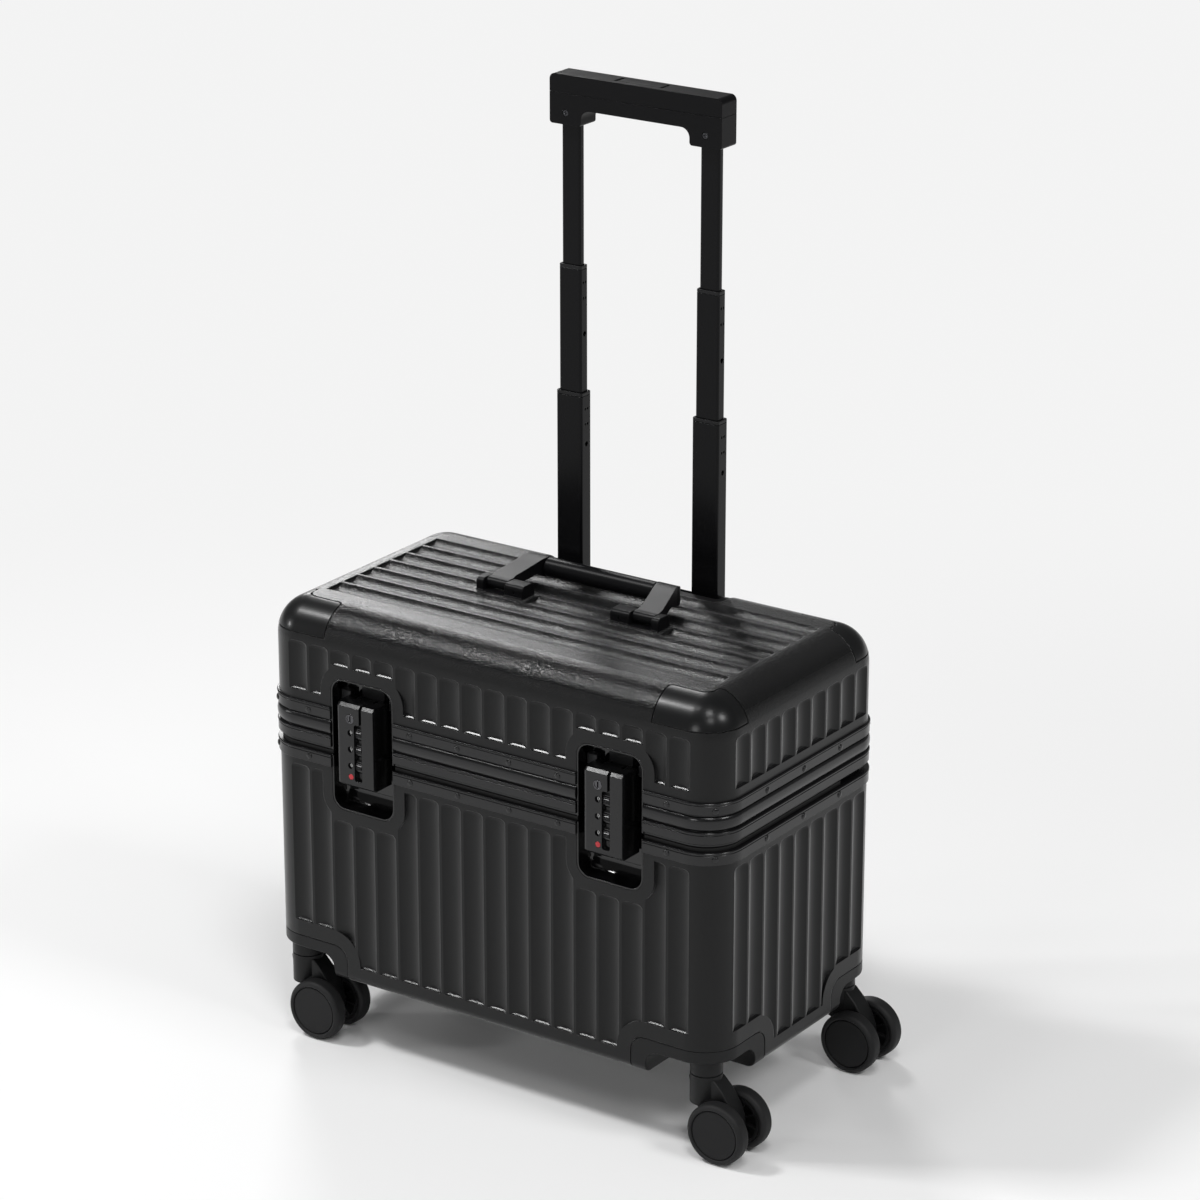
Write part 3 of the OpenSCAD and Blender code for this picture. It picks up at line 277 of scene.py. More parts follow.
def moulded(name, color, roughness, grain=0.0, grainSize=1.0, specular=0.5, metallic=0.0, coat=0.0,
            coatRoughness=0.06, grainAbove=None, edge=0.4, sheen=0.0,
            polish=None):
    # Satin or gloss plastic or metal with a fine moulded grain, mottled sheen and softly rounded edges
    material, nodes, links, shader = newMaterial(name)
    place = nodes.new("ShaderNodeTexCoord")
    shader.inputs["Specular IOR Level"].default_value = specular
    shader.inputs["Metallic"].default_value = metallic
    if coat:
        shader.inputs["Coat Weight"].default_value = coat
        shader.inputs["Coat Roughness"].default_value = coatRoughness
    shader.inputs["Sheen Weight"].default_value = sheen
    shader.inputs["Sheen Roughness"].default_value = 0.3
    cloud = nodes.new("ShaderNodeTexNoise")
    cloud.inputs["Scale"].default_value = 14
    cloud.inputs["Detail"].default_value = 5
    links.new(place.outputs["Object"], cloud.inputs["Vector"])
    spread = nodes.new("ShaderNodeMapRange")
    spread.inputs["To Min"].default_value = max(roughness - 0.05, 0.02)
    spread.inputs["To Max"].default_value = roughness + 0.05
    links.new(cloud.outputs["Fac"], spread.inputs["Value"])
    if polish:
        # Faces that look upwards come out of the mould glossier than the upright walls
        facing = nodes.new("ShaderNodeSeparateXYZ")
        links.new(place.outputs["Normal"], facing.inputs["Vector"])
        upward = nodes.new("ShaderNodeMapRange")
        upward.interpolation_type = "SMOOTHSTEP"
        upward.inputs["From Min"].default_value = 0.4
        upward.inputs["From Max"].default_value = 0.62
        links.new(facing.outputs["Z"], upward.inputs["Value"])
        mixed = nodes.new("ShaderNodeMix")
        mixed.inputs["B"].default_value = polish
        links.new(upward.outputs["Result"], mixed.inputs["Factor"])
        links.new(spread.outputs["Result"], mixed.inputs["A"])
        links.new(mixed.outputs["Result"], shader.inputs["Roughness"])
    else:
        links.new(spread.outputs["Result"], shader.inputs["Roughness"])
    tone = nodes.new("ShaderNodeMix")
    tone.data_type = "RGBA"
    tone.inputs["A"].default_value = (*[c * 0.88 for c in color], 1)
    tone.inputs["B"].default_value = (*[min(c * 1.14, 1) for c in color], 1)
    links.new(cloud.outputs["Fac"], tone.inputs["Factor"])
    links.new(tone.outputs["Result"], shader.inputs["Base Color"])
    rounded = nodes.new("ShaderNodeBevel")
    rounded.samples = 6
    rounded.inputs["Radius"].default_value = edge * mm
    normal = rounded.outputs["Normal"]
    if grain:
        cells = nodes.new("ShaderNodeTexVoronoi")
        cells.feature = "SMOOTH_F1"
        cells.inputs["Scale"].default_value = 1000 / grainSize
        cells.inputs["Smoothness"].default_value = 0.6
        links.new(place.outputs["Object"], cells.inputs["Vector"])
        height = cells.outputs["Distance"]
        if grainAbove:
            parts = nodes.new("ShaderNodeSeparateXYZ")
            links.new(place.outputs["Object"], parts.inputs["Vector"])
            ramp = nodes.new("ShaderNodeMapRange")
            ramp.inputs["From Min"].default_value = grainAbove[0] * mm
            ramp.inputs["From Max"].default_value = grainAbove[1] * mm
            ramp.inputs["To Min"].default_value = 0.12
            links.new(parts.outputs["Z"], ramp.inputs["Value"])
            scaled = nodes.new("ShaderNodeMath")
            scaled.operation = "MULTIPLY"
            links.new(height, scaled.inputs[0])
            links.new(ramp.outputs["Result"], scaled.inputs[1])
            height = scaled.outputs["Value"]
        bump = nodes.new("ShaderNodeBump")
        bump.inputs["Strength"].default_value = 1
        bump.inputs["Distance"].default_value = grain * mm
        links.new(height, bump.inputs["Height"])
        links.new(normal, bump.inputs["Normal"])
        normal = bump.outputs["Normal"]
    links.new(normal, shader.inputs["Normal"])
    if coat:
        links.new(normal, shader.inputs["Coat Normal"])
    return material


def brushed(name, color, roughness, along="Z", stretch=60, depth=0.01, specular=0.5, edge=0.4, metallic=0.6):
    # Anodised aluminium with fine drawing lines along one axis
    material, nodes, links, shader = newMaterial(name)
    place = nodes.new("ShaderNodeTexCoord")
    mapping = nodes.new("ShaderNodeMapping")
    mapping.inputs["Scale"].default_value = [1 if axis == along else stretch for axis in "XYZ"]
    links.new(place.outputs["Object"], mapping.inputs["Vector"])
    lines = nodes.new("ShaderNodeTexNoise")
    lines.inputs["Scale"].default_value = 20
    lines.inputs["Detail"].default_value = 4
    links.new(mapping.outputs["Vector"], lines.inputs["Vector"])
    spread = nodes.new("ShaderNodeMapRange")
    spread.inputs["To Min"].default_value = max(roughness - 0.07, 0.02)
    spread.inputs["To Max"].default_value = roughness + 0.07
    links.new(lines.outputs["Fac"], spread.inputs["Value"])
    links.new(spread.outputs["Result"], shader.inputs["Roughness"])
    shader.inputs["Base Color"].default_value = (*color, 1)
    shader.inputs["Metallic"].default_value = metallic
    shader.inputs["Specular IOR Level"].default_value = specular
    rounded = nodes.new("ShaderNodeBevel")
    rounded.samples = 6
    rounded.inputs["Radius"].default_value = edge * mm
    bump = nodes.new("ShaderNodeBump")
    bump.inputs["Strength"].default_value = 0.5
    bump.inputs["Distance"].default_value = depth * mm
    links.new(lines.outputs["Fac"], bump.inputs["Height"])
    links.new(rounded.outputs["Normal"], bump.inputs["Normal"])
    links.new(bump.outputs["Normal"], shader.inputs["Normal"])
    return material


def woven(name, color, thread=0.8):
    # Woven lining cloth: two sets of threads crossing
    material, nodes, links, shader = newMaterial(name)
    place = nodes.new("ShaderNodeTexCoord")
    waves = []
    for direction in ("X", "Z"):
        wave = nodes.new("ShaderNodeTexWave")
        wave.bands_direction = direction
        wave.inputs["Scale"].default_value = 160 / thread
        wave.inputs["Distortion"].default_value = 0.6
        links.new(place.outputs["Object"], wave.inputs["Vector"])
        waves.append(wave)
    weave = nodes.new("ShaderNodeMath")
    weave.operation = "MAXIMUM"
    for wave, socket in zip(waves, weave.inputs):
        links.new(wave.outputs["Fac"], socket)
    tone = nodes.new("ShaderNodeMix")
    tone.data_type = "RGBA"
    tone.inputs["A"].default_value = (*[c * 0.6 for c in color], 1)
    tone.inputs["B"].default_value = (*color, 1)
    links.new(weave.outputs["Value"], tone.inputs["Factor"])
    links.new(tone.outputs["Result"], shader.inputs["Base Color"])
    bump = nodes.new("ShaderNodeBump")
    bump.inputs["Distance"].default_value = 0.1 * mm
    links.new(weave.outputs["Value"], bump.inputs["Height"])
    links.new(bump.outputs["Normal"], shader.inputs["Normal"])
    shader.inputs["Roughness"].default_value = 0.85
    shader.inputs["Sheen Weight"].default_value = 0.3
    return material


shellLook = moulded("shellSatin", (0.002, 0.0021, 0.0023), 0.4, grain=0.28, grainSize=1.2, grainAbove=(342, 372),
                    specular=0.28, edge=0.5, sheen=0.5, polish=0.2)
padLook = moulded("padSatin", (0.004, 0.0042, 0.0045), 0.34, grain=0.02, grainSize=0.7, specular=0.2, coat=0.25,
                  coatRoughness=0.2)
guardLook = moulded("guardSatin", (0.009, 0.0092, 0.0095), 0.38, grain=0.05, grainSize=0.8, specular=0.2)
glossLook = moulded("glossBlack", (0.002, 0.002, 0.0022), 0.12, specular=0.35, coat=0.3, edge=0.5)
trimLook = moulded("satinBlack", (0.008, 0.008, 0.0085), 0.34, grain=0.03, grainSize=0.6, specular=0.2, edge=0.5)
lockLook = moulded("lockSatin", (0.004, 0.004, 0.0045), 0.22, grain=0.01, grainSize=0.5, specular=0.4, edge=0.3)
lockSideLook = moulded("lockGloss", (0.003, 0.003, 0.0032), 0.12, specular=0.25, edge=0.4)
handleLook = moulded("handleSatin", (0.004, 0.004, 0.0045), 0.34, grain=0.02, grainSize=0.6, specular=0.1, edge=0.5)
dialLook = moulded("dialBlack", (0.008, 0.008, 0.0085), 0.25, edge=0.2)
discLook = moulded("discSatin", (0.008, 0.008, 0.0085), 0.45, grain=0.03, grainSize=0.5, specular=0.2)
tyreLook = moulded("tyreRubber", (0.008, 0.008, 0.0085), 0.6, grain=0.05, grainSize=0.9, specular=0.3)
sealLook = moulded("sealRubber", (0.006, 0.006, 0.006), 0.55, grain=0.03, grainSize=0.6, specular=0.3)
rivetLook = moulded("blackRivet", (0.012, 0.012, 0.0125), 0.22, metallic=0.3)
railLook = brushed("anodisedRail", (0.006, 0.006, 0.0065), 0.22, along="X", depth=0.005, specular=0.45, edge=0.25, metallic=0.1)
tubeLook = brushed("anodisedTube", (0.004, 0.004, 0.0045), 0.22, along="Z", depth=0.003, specular=0.15, edge=0.7, metallic=0.2)
steelLook = brushed("plainSteel", (0.4, 0.4, 0.41), 0.3, metallic=1.0)
screwLook = brushed("darkSteel", (0.06, 0.06, 0.065), 0.25, metallic=1.0)
bracketLook = brushed("darkBracket", (0.02, 0.02, 0.021), 0.4, metallic=0.5)
keyLook = brushed("darkNickel", (0.1, 0.1, 0.105), 0.25, metallic=1.0)
clothLook = woven("liningCloth", (0.11, 0.11, 0.12))
paleLook = moulded("paleEnamel", (0.75, 0.75, 0.74), 0.35, edge=0.1)
redLook = moulded("redEnamel", (0.4, 0.012, 0.02), 0.3, edge=0.1)
print("materials ready")

# The case's shells
case = dict(
    halfWidth=220, halfDepth=119.5, corner=31, wall=3.7,
    bottom=60, lowerTop=257, bottomRadius=8,
    lidBottom=290.5, top=380,
)
flutes = dict(pitch=21.7, width=19.4, depth=2.9, bow=2.15, ramp=4.2, skin=0.3, front=18, side=9, top=7, topReach=188.5)
pocket = dict(x=120, halfWidth=31, low=213.3, high=326.3, radius=12, border=10.3, floor=-103, liner=1.5)
bay = dict(halfWidth=91, front=76.2, radius=9)
guard = dict(innerX=140, innerY=49.5, top=90.5, radius=13, wellX=154, wellY=63.5, wellRadius=12)
padPlan = dict(x=158, y=78.5, bandX=194, bandY=93.5, low=357, radius=8)


def caseBlock(name, low, high, topRadius=0, bottomRadius=0, inset=0, segments=14):
    w, d, r = case["halfWidth"] - inset, case["halfDepth"] - inset, case["corner"] - inset
    piece = block(name, (-w, -d, low), (w, d, high))
    if topRadius:
        roundEdges(piece, lambda a, b: upright(a, b) or (a.z > high - 1 and b.z > high - 1), r, segments)
    else:
        roundEdges(piece, upright, r, segments)
    if bottomRadius:
        roundEdges(piece, lambda a, b: a.z < low + 0.01 and b.z < low + 0.01, bottomRadius - inset * 0.9, 8)
    return piece


def hollow(piece, at):
    # Takes the flat open side away and gives the skin its wall
    pickFaces(piece, lambda c, n: abs(c.z - at) < 0.01 and abs(n.z) > 0.9)
    bpy.ops.mesh.delete(type="FACE")
    bpy.ops.object.mode_set(mode="OBJECT")
    return applyModifier(piece, "SOLIDIFY", thickness=case["wall"] * mm, offset=-1, use_even_offset=True)


def fluteBar(low, high):
    # A bar with the flute's section, fading out at the upper end; the shell's face is y = 0
    half, d, skin, ramp = flutes["width"] / 2, flutes["depth"], flutes["skin"], flutes["ramp"]
    steps = 22
    places = [half * (2 * i / steps - 1) for i in range(steps + 1)]
    outline = [(x, d * (1 - abs(x / half) ** flutes["bow"])) for x in places]
    lip = half + skin * half / (flutes["bow"] * d)
    level = high - ramp
    bar = sheet("flute", [(-lip, -skin)] + outline + [(lip, -skin)], "Z", low - 1, level)
    pickFaces(bar, lambda c, n: n.z > 0.9)
    rounds = 6
    turns = [math.radians(90 * k / rounds) for k in range(rounds + 1)]
    for before, after in zip(turns, turns[1:]):
        step = ramp * (math.sin(after) - math.sin(before))
        level += step
        deep = (skin + d * math.cos(after) + 0.02) / (skin + d * math.cos(before) + 0.02)
        wide = (0.55 + 0.45 * math.cos(after)) / (0.55 + 0.45 * math.cos(before))
        bpy.ops.mesh.extrude_region_move(TRANSFORM_OT_translate={"value": (0, 0, step * mm)})
        bpy.ops.transform.resize(value=(wide, deep, 1), center_override=(0, -skin * mm, level * mm))
    # The lower end is a small bowl; the part of it that faces up and outwards shows as a bright crescent
    for back, up, tilt in ((0, 0, 76), (1.0, 0.25, 49), (2.3, 1.62, 24)):
        facing = (0, -math.cos(math.radians(tilt)), math.sin(math.radians(tilt)))
        bpy.ops.mesh.select_all(action="SELECT")
        bpy.ops.mesh.bisect(plane_co=(0, back * mm, (low + up) * mm), plane_no=facing, use_fill=True,
                            clear_inner=True)
    bpy.ops.object.mode_set(mode="OBJECT")
    return bar


def roundedSlab(name, x, halfWidth, low, high, radius, front, back):
    # An upright slab through the front face with rounded corners, for pockets and their borders
    piece = block(name, (x - halfWidth, front, low), (x + halfWidth, back, high))
    return roundEdges(piece, lambda a, b: abs(a.x - b.x) < 0.01 and abs(a.z - b.z) < 0.01, radius, 10)


def pocketSlab(side, grow, front, back):
    return roundedSlab("pocketSlab", side * pocket["x"], pocket["halfWidth"] + grow, pocket["low"] - grow,
                       pocket["high"] + grow, pocket["radius"] + grow, front, back)


def guardSlab(grow, sx, sy):
    # The corner that a wheel guard fills, as seen from the front and from the side
    reach, low, top, r = 260, 50, guard["top"] + grow, guard["radius"] + grow
    fromFront = block("guardSlab", (guard["innerX"] - grow, 0, low), (reach, 160, top))
    roundEdges(fromFront, lambda a, b: a.x < 200 and b.x < 200 and a.z > 80 and b.z > 80, r, 10)
    fromSide = block("guardSlab", (0, guard["innerY"] - grow, low), (reach, 160, top))
    roundEdges(fromSide, lambda a, b: a.y < 100 and b.y < 100 and a.z > 80 and b.z > 80, r, 10)
    cut(fromFront, fromSide, "INTERSECT")
    corner = mirrored(fromFront, "guardSlab", (sx, sy))
    bpy.data.objects.remove(fromFront)
    return corner


def padSlab(grow, sx, sy):
    # The L-shaped plan of a lid pad, as an upright block
    low = padPlan["low"] - grow
    arm = block("padSlab", (padPlan["x"] - grow, padPlan["bandY"] - grow, low), (260, 160, 400))
    side = block("padSlab", (padPlan["bandX"] - grow, padPlan["y"] - grow, low), (260, 160, 400))
    cut(arm, side, "UNION")
    inner = (padPlan["bandX"] - grow, padPlan["bandY"] - grow)
    roundEdges(arm, lambda a, b: upright(a, b) and abs(a.x - inner[0]) < 0.1 and abs(a.y - inner[1]) < 0.1,
               padPlan["radius"], 8)
    ends = [(padPlan["x"] - grow, inner[1]), (inner[0], padPlan["y"] - grow)]
    roundEdges(arm, lambda a, b: upright(a, b) and any(
        abs(a.x - x) < 0.1 and abs(a.y - y) < 0.1 for x, y in ends), 4, 6)
    corner = mirrored(arm, "padSlab", (sx, sy))
    bpy.data.objects.remove(arm)
    return corner


caster = dict(x=197.5, y=98.6, postRadius=13, seam=66.5, wellTop=80, trail=22, wheelRadius=25.5)

corners = {"front_left": (-1, -1), "front_right": (1, -1), "rear_left": (-1, 1), "rear_right": (1, 1)}


def placed(piece, outward, along, at):
    # Turns a bar that was made along Z, facing -Y, to lie along a direction and face another
    outward, along = Vector(outward), Vector(along)
    inward = -outward
    across = inward.cross(along)
    turn = Matrix((across, inward, along)).transposed().to_4x4()
    piece.data.transform(Matrix.Translation(Vector(at) * mm) @ turn)
    return piece


def wallFlutes(low, high):
    # Flutes on the four walls; their ends come from functions of the wall and the place along it
    bars = []
    made = {}
    walls = (("front", (0, -1, 0)), ("back", (0, 1, 0)), ("right", (1, 0, 0)), ("left", (-1, 0, 0)))
    for wall, outward in walls:
        wide = wall in ("front", "back")
        count = flutes["front"] if wide else flutes["side"]
        reach = case["halfDepth"] if wide else case["halfWidth"]
        for i in range(count):
            place = (i - (count - 1) / 2) * flutes["pitch"]
            span = (round(low(wall, place), 1), round(high(wall, place), 1))
            if span not in made:
                made[span] = fluteBar(*span)
            spot = (place, outward[1] * reach, 0) if wide else (outward[0] * reach, place, 0)
            bars.append(placed(copyOf(made[span]), outward, (0, 0, 1), spot))
    for bar in made.values():
        bpy.data.objects.remove(bar)
    return joined(bars, "fluteBars")


def overPocket(wall, place):
    return wall == "front" and abs(abs(place) - pocket["x"]) < pocket["halfWidth"]


def bayCutter(grow, low, high):
    half, front, r = bay["halfWidth"] + grow, bay["front"] - grow, bay["radius"] + grow
    piece = block("bayCutter", (-half, front, low), (half, 160, high))
    return roundEdges(piece, lambda a, b: upright(a, b) and a.y < 100, r, 8)


def makeLowerShell():
    shell = caseBlock("lowerShell", case["bottom"], case["lowerTop"], bottomRadius=case["bottomRadius"])
    hollow(shell, case["lowerTop"])
    overGuard = guard["top"] + guard["radius"] + 0.6

    def low(wall, place):
        inner = guard["innerX"] if wall in ("front", "back") else guard["innerY"]
        return overGuard if abs(place) > inner + 10 else case["bottom"] + 16

    def high(wall, place):
        return pocket["low"] - pocket["border"] if overPocket(wall, place) else 243

    bars = wallFlutes(low, high)
    for side in (-1, 1):
        cut(bars, pocketSlab(side, pocket["border"], -160, 0))
    for sx, sy in corners.values():
        cut(bars, guardSlab(guard["radius"] + 0.2, sx, sy))
    cut(shell, bars)
    for side in (-1, 1):
        cut(shell, pocketSlab(side, 0.25, -160, 0))
    for sx, sy in corners.values():
        cut(shell, guardSlab(0.35, sx, sy))
    finished(shell, "lowerShell", "root", shellLook, ["lower_shell"], 18)


def makeLidShell():
    shell = caseBlock("lidShell", case["lidBottom"], case["top"], topRadius=case["corner"])
    hollow(shell, case["lidBottom"])
    bars = wallFlutes(lambda wall, place: pocket["high"] + pocket["border"] if overPocket(wall, place) else 308,
                      lambda wall, place: 350)
    for side in (-1, 1):
        cut(bars, pocketSlab(side, pocket["border"], -160, 0))
    top = fluteBar(-flutes["topReach"], flutes["topReach"])
    rows = []
    for i in range(flutes["top"]):
        place = (i - (flutes["top"] - 1) / 2) * flutes["pitch"]
        rows.append(placed(copyOf(top), (0, 0, 1), (1, 0, 0), (0, place, case["top"])))
    bpy.data.objects.remove(top)
    rows = joined(rows, "topFlutes")
    for side in (-1, 1):
        cut(rows, block("bracketFoot", (side * 65.25 - 27, -11, 370), (side * 65.25 + 27, 14, 390)))
    cut(shell, joined([bars, rows]))
    for side in (-1, 1):
        cut(shell, pocketSlab(side, 0.25, -160, 0))
    for sx, sy in corners.values():
        cut(shell, padSlab(0.95, sx, sy))
    cut(shell, bayCutter(0.5, 200, 400))
    finished(shell, "lidShell", "lid", shellLook, ["lid_shell"], 18)


def makePads():
    # Corner pads: the lid's own skin inside the pad's outline, with softened edges
    skin = caseBlock("padSkin", case["lidBottom"], case["top"], topRadius=case["corner"])
    hollow(skin, case["lidBottom"])
    for name, (sx, sy) in corners.items():
        pad = copyOf(skin)
        cut(pad, padSlab(-0.1, sx, sy), "INTERSECT")
        softEdges(pad, 1.4, 4, 50)
        finished(pad, "cornerPad_" + name, "lid", padLook, ["pad_" + name])
    bpy.data.objects.remove(skin)


def makeGuards():
    body = caseBlock("guardBody", case["bottom"], case["lowerTop"], bottomRadius=case["bottomRadius"])
    one = copyOf(body)
    cut(one, guardSlab(-0.1, 1, 1), "INTERSECT")
    bpy.data.objects.remove(body)
    # The well over the wheel has an arched corner towards the middle of the case, from both sides
    well = block("well", (guard["wellX"], 0, 40), (260, 160, caster["wellTop"]))
    roundEdges(well, lambda a, b: max(a.x, b.x) < 200 and min(a.z, b.z) > 70, guard["wellRadius"], 10)
    beside = block("well", (0, guard["wellY"], 40), (260, 160, caster["wellTop"]))
    roundEdges(beside, lambda a, b: max(a.y, b.y) < 100 and min(a.z, b.z) > 70, guard["wellRadius"], 10)
    cut(well, beside, "INTERSECT")
    cut(one, well)
    softEdges(one, 1.0, 3, 50)
    post = rod("post", (caster["x"], caster["y"], caster["seam"]), "Z", caster["postRadius"],
               caster["wellTop"] + 2 - caster["seam"])
    softEdges(post, 0.6, 2, 50)
    cut(one, post, "UNION")
    cut(one, rod("stemHole", (caster["x"], caster["y"], 60), "Z", 4.08, 28))
    for name, (sx, sy) in corners.items():
        finished(mirrored(one, "guard", (sx, sy)), "wheelGuard_" + name, "root", guardLook,
                 ["guard_" + name])
    bpy.data.objects.remove(one)


# Rails: a profile swept round the case. Points are outwards from the rails' outer face, and up
rails = dict(
    halfWidth=222, halfDepth=121.5, corner=33,
    lid=[(-1.8, 300), (-0.9, 300), (-0.35, 299.75), (0, 299.2), (0, 298.6), (-0.8, 298.1), (-0.8, 297.7),
         (-0.45, 297.3), (-0.45, 290.2), (-0.8, 289.7), (-2.6, 289.5), (-2.6, 288.4), (-1.9, 288.1), (-1.1, 287.5),
         (-0.55, 286.5), (-0.2, 285.2), (0, 283.6), (-0.05, 281.6), (-0.4, 279.6), (-1.0, 277.9), (-1.7, 276.9),
         (-2.4, 276.3), (-2.4, 275.9), (-1.0, 275.8), (-0.35, 275.6), (0, 275.0), (0, 274.3), (-0.9, 273.8),
         (-0.9, 273.3), (-0.45, 272.9), (-0.45, 266.2), (-0.9, 265.7), (-3.4, 265.6), (-3.4, 263.2), (-7, 263.2),
         (-7, 302), (-5.2, 302), (-5.2, 290.4), (-1.8, 290.4)],
    lower=[(-1.8, 248), (-0.9, 248), (-0.45, 248.5), (-0.45, 256.1), (-0.9, 256.6), (-0.9, 257.1), (0, 257.5),
           (0, 258.2), (-0.35, 258.75), (-0.9, 259), (-7, 259), (-7, 246), (-5.2, 246), (-5.2, 257.2), (-1.8, 257.2)],
)
rivets = dict(lidHeight=293.4, lowerHeight=253.4, radius=2.7, proud=1.3, front=(25, 71.7, 173.5), side=(0, 53.2))


def sweptRail(name, profile):
    deselectAll()
    bpy.ops.mesh.primitive_plane_add(size=1)
    path = bpy.context.object
    path.scale = (2 * rails["halfWidth"] * mm, 2 * rails["halfDepth"] * mm, 1)
    settle(path)
    bpy.ops.object.mode_set(mode="EDIT")
    bpy.ops.mesh.select_all(action="SELECT")
    bpy.ops.mesh.bevel(offset=rails["corner"] * mm, segments=20, affect="VERTICES")
    bpy.ops.mesh.delete(type="ONLY_FACE")
    bpy.ops.object.mode_set(mode="OBJECT")
    bpy.ops.object.convert(target="CURVE")
    deselectAll()
    bpy.ops.mesh.primitive_circle_add(vertices=len(profile))
    outline = bpy.context.object
    for vertex, (out, up) in zip(outline.data.vertices, profile):
        vertex.co = (out * mm, up * mm, 0)
    bpy.ops.object.convert(target="CURVE")
    path.data.twist_mode = "Z_UP"
    path.data.bevel_mode = "OBJECT"
    path.data.bevel_object = outline
    activate(path)
    bpy.ops.object.convert(target="MESH")
    bpy.data.objects.remove(outline)
    path.name = name
    bpy.ops.object.mode_set(mode="EDIT")
    bpy.ops.mesh.select_all(action="SELECT")
    bpy.ops.mesh.normals_make_consistent(inside=False)
    bpy.ops.object.mode_set(mode="OBJECT")
    return path


def makeRails():
    for name, profile, body, node in (("lidRail", rails["lid"], "lid", "lid_frame"),
                                      ("lowerRail", rails["lower"], "root", "lower_frame")):
        rail = sweptRail(name, profile)
        for side in (-1, 1):
            middle, half = side * pocket["x"], pocket["halfWidth"] + 0.3
            cut(rail, block("railBreak", (middle - half, -140, 200), (middle + half, -60, 340)))
        cut(rail, bayCutter(0.2 if body == "lid" else -0.6, 200, 400))
        finished(rail, name, body, railLook, [node])


def makeRivets():
    deselectAll()
    bpy.ops.mesh.primitive_uv_sphere_add(segments=24, ring_count=16, radius=1)
    head = bpy.context.object
    head.scale = (rivets["proud"] * mm, rivets["radius"] * mm, rivets["radius"] * mm)
    settle(head)
    bpy.ops.object.mode_set(mode="EDIT")
    bpy.ops.mesh.select_all(action="SELECT")
    bpy.ops.mesh.bisect(plane_co=(-0.5 * mm, 0, 0), plane_no=(1, 0, 0), use_fill=True, clear_inner=True)
    bpy.ops.object.mode_set(mode="OBJECT")
    for name, height, body, node, slot in (("lidRivets", rivets["lidHeight"], "lid", "lid_rivets", "rivets"),
                                           ("lowerRivets", rivets["lowerHeight"], "root", "lower_rivets", "rivets")):
        heads = []
        w, d, r = rails["halfWidth"] - 0.5, rails["halfDepth"] - 0.5, rails["corner"]
        spots = []
        for x in rivets["front"]:
            spots += [(s * x, -d, -90) for s in (-1, 1)]
            if x > bay["halfWidth"]:
                spots += [(s * x, d, 90) for s in (-1, 1)]
        for side in (-1, 1):
            spots += [(side * w, y * s, 0 if side > 0 else 180) for y in rivets["side"] for s in ((1, -1) if y else (1,))]
            for end in (-1, 1):
                angle = math.degrees(math.atan2(end, side))
                reach = r - 0.5
                spots.append((side * (w + 0.5 - r) + reach * math.cos(math.radians(angle)),
                              end * (d + 0.5 - r) + reach * math.sin(math.radians(angle)), angle))
        for x, y, angle in spots:
            one = copyOf(head)
            one.data.transform(Matrix.Translation((x * mm, y * mm, height * mm)) @ Matrix.Rotation(math.radians(angle), 4, "Z"))
            heads.append(one)
        finished(joined(heads), name, body, rivetLook, [node], 60)
    bpy.data.objects.remove(head)


def makePockets():
    # Gloss trays behind the locks, split at the parting; the lower part ends in a scooped finger dish
    for label, side in (("left", -1), ("right", 1)):
        tray = pocketSlab(side, 0, -case["halfDepth"], pocket["floor"] + pocket["liner"])
        inner = pocketSlab(side, -pocket["liner"], -140, pocket["floor"])
        roundEdges(inner, lambda a, b: a.y > pocket["floor"] - 0.1 and b.y > pocket["floor"] - 0.1, 5, 6)
        cut(tray, inner)
        upper = copyOf(tray)
        cut(tray, block("above", (-240, -160, 258.9), (240, 0, 400)))
        cut(upper, block("below", (-240, -160, 100), (240, 0, 263.4)))
        lower = tray
        # The finger dish: a hollow slope between the tray's floor and its lower wall
        base, hollowRadius = pocket["low"] + pocket["liner"] - 0.2, 13
        dish = [(pocket["floor"] + 0.6, base - 0.6), (pocket["floor"] - hollowRadius, base - 0.6)]
        dish += arc((pocket["floor"] - hollowRadius, base + hollowRadius), hollowRadius, -90, 0, 14)
        dish += [(pocket["floor"] + 0.6, base + hollowRadius)]
        slope = sheet("dish", dish, "X", side * pocket["x"] - 30.5, side * pocket["x"] + 30.5)
        cut(slope, pocketSlab(side, -0.4, -140, pocket["floor"] + 1), "INTERSECT")
        cut(lower, slope, "UNION")
        softEdges(lower, 0.35, 2, 60)
        softEdges(upper, 0.35, 2, 60)
        finished(lower, "lowerPocket_" + label, "root", glossLook, ["lower_pocket_" + label])
        finished(upper, "lidPocket_" + label, "lid", glossLook, ["lid_pocket_" + label])


# Locks: made once round x = 0, then copied to both places
lock = dict(
    x=120, halfWidth=18.4, front=-129.5, back=-105.8, low=240, high=311, chamfer=2.4, plate=2.8,
    hingeY=-111.0, hingeZ=306, dialY=-122.7, dialZ=272.7, pitch=14.1, window=-4.6, keyZ=298.8, dotZ=249.2,
    ringRadius=6.2, drumRadius=5.2, grooveLeft=-0.7, grooveRight=7, narrowLeft=4.4, grooveDepth=3.4,
)


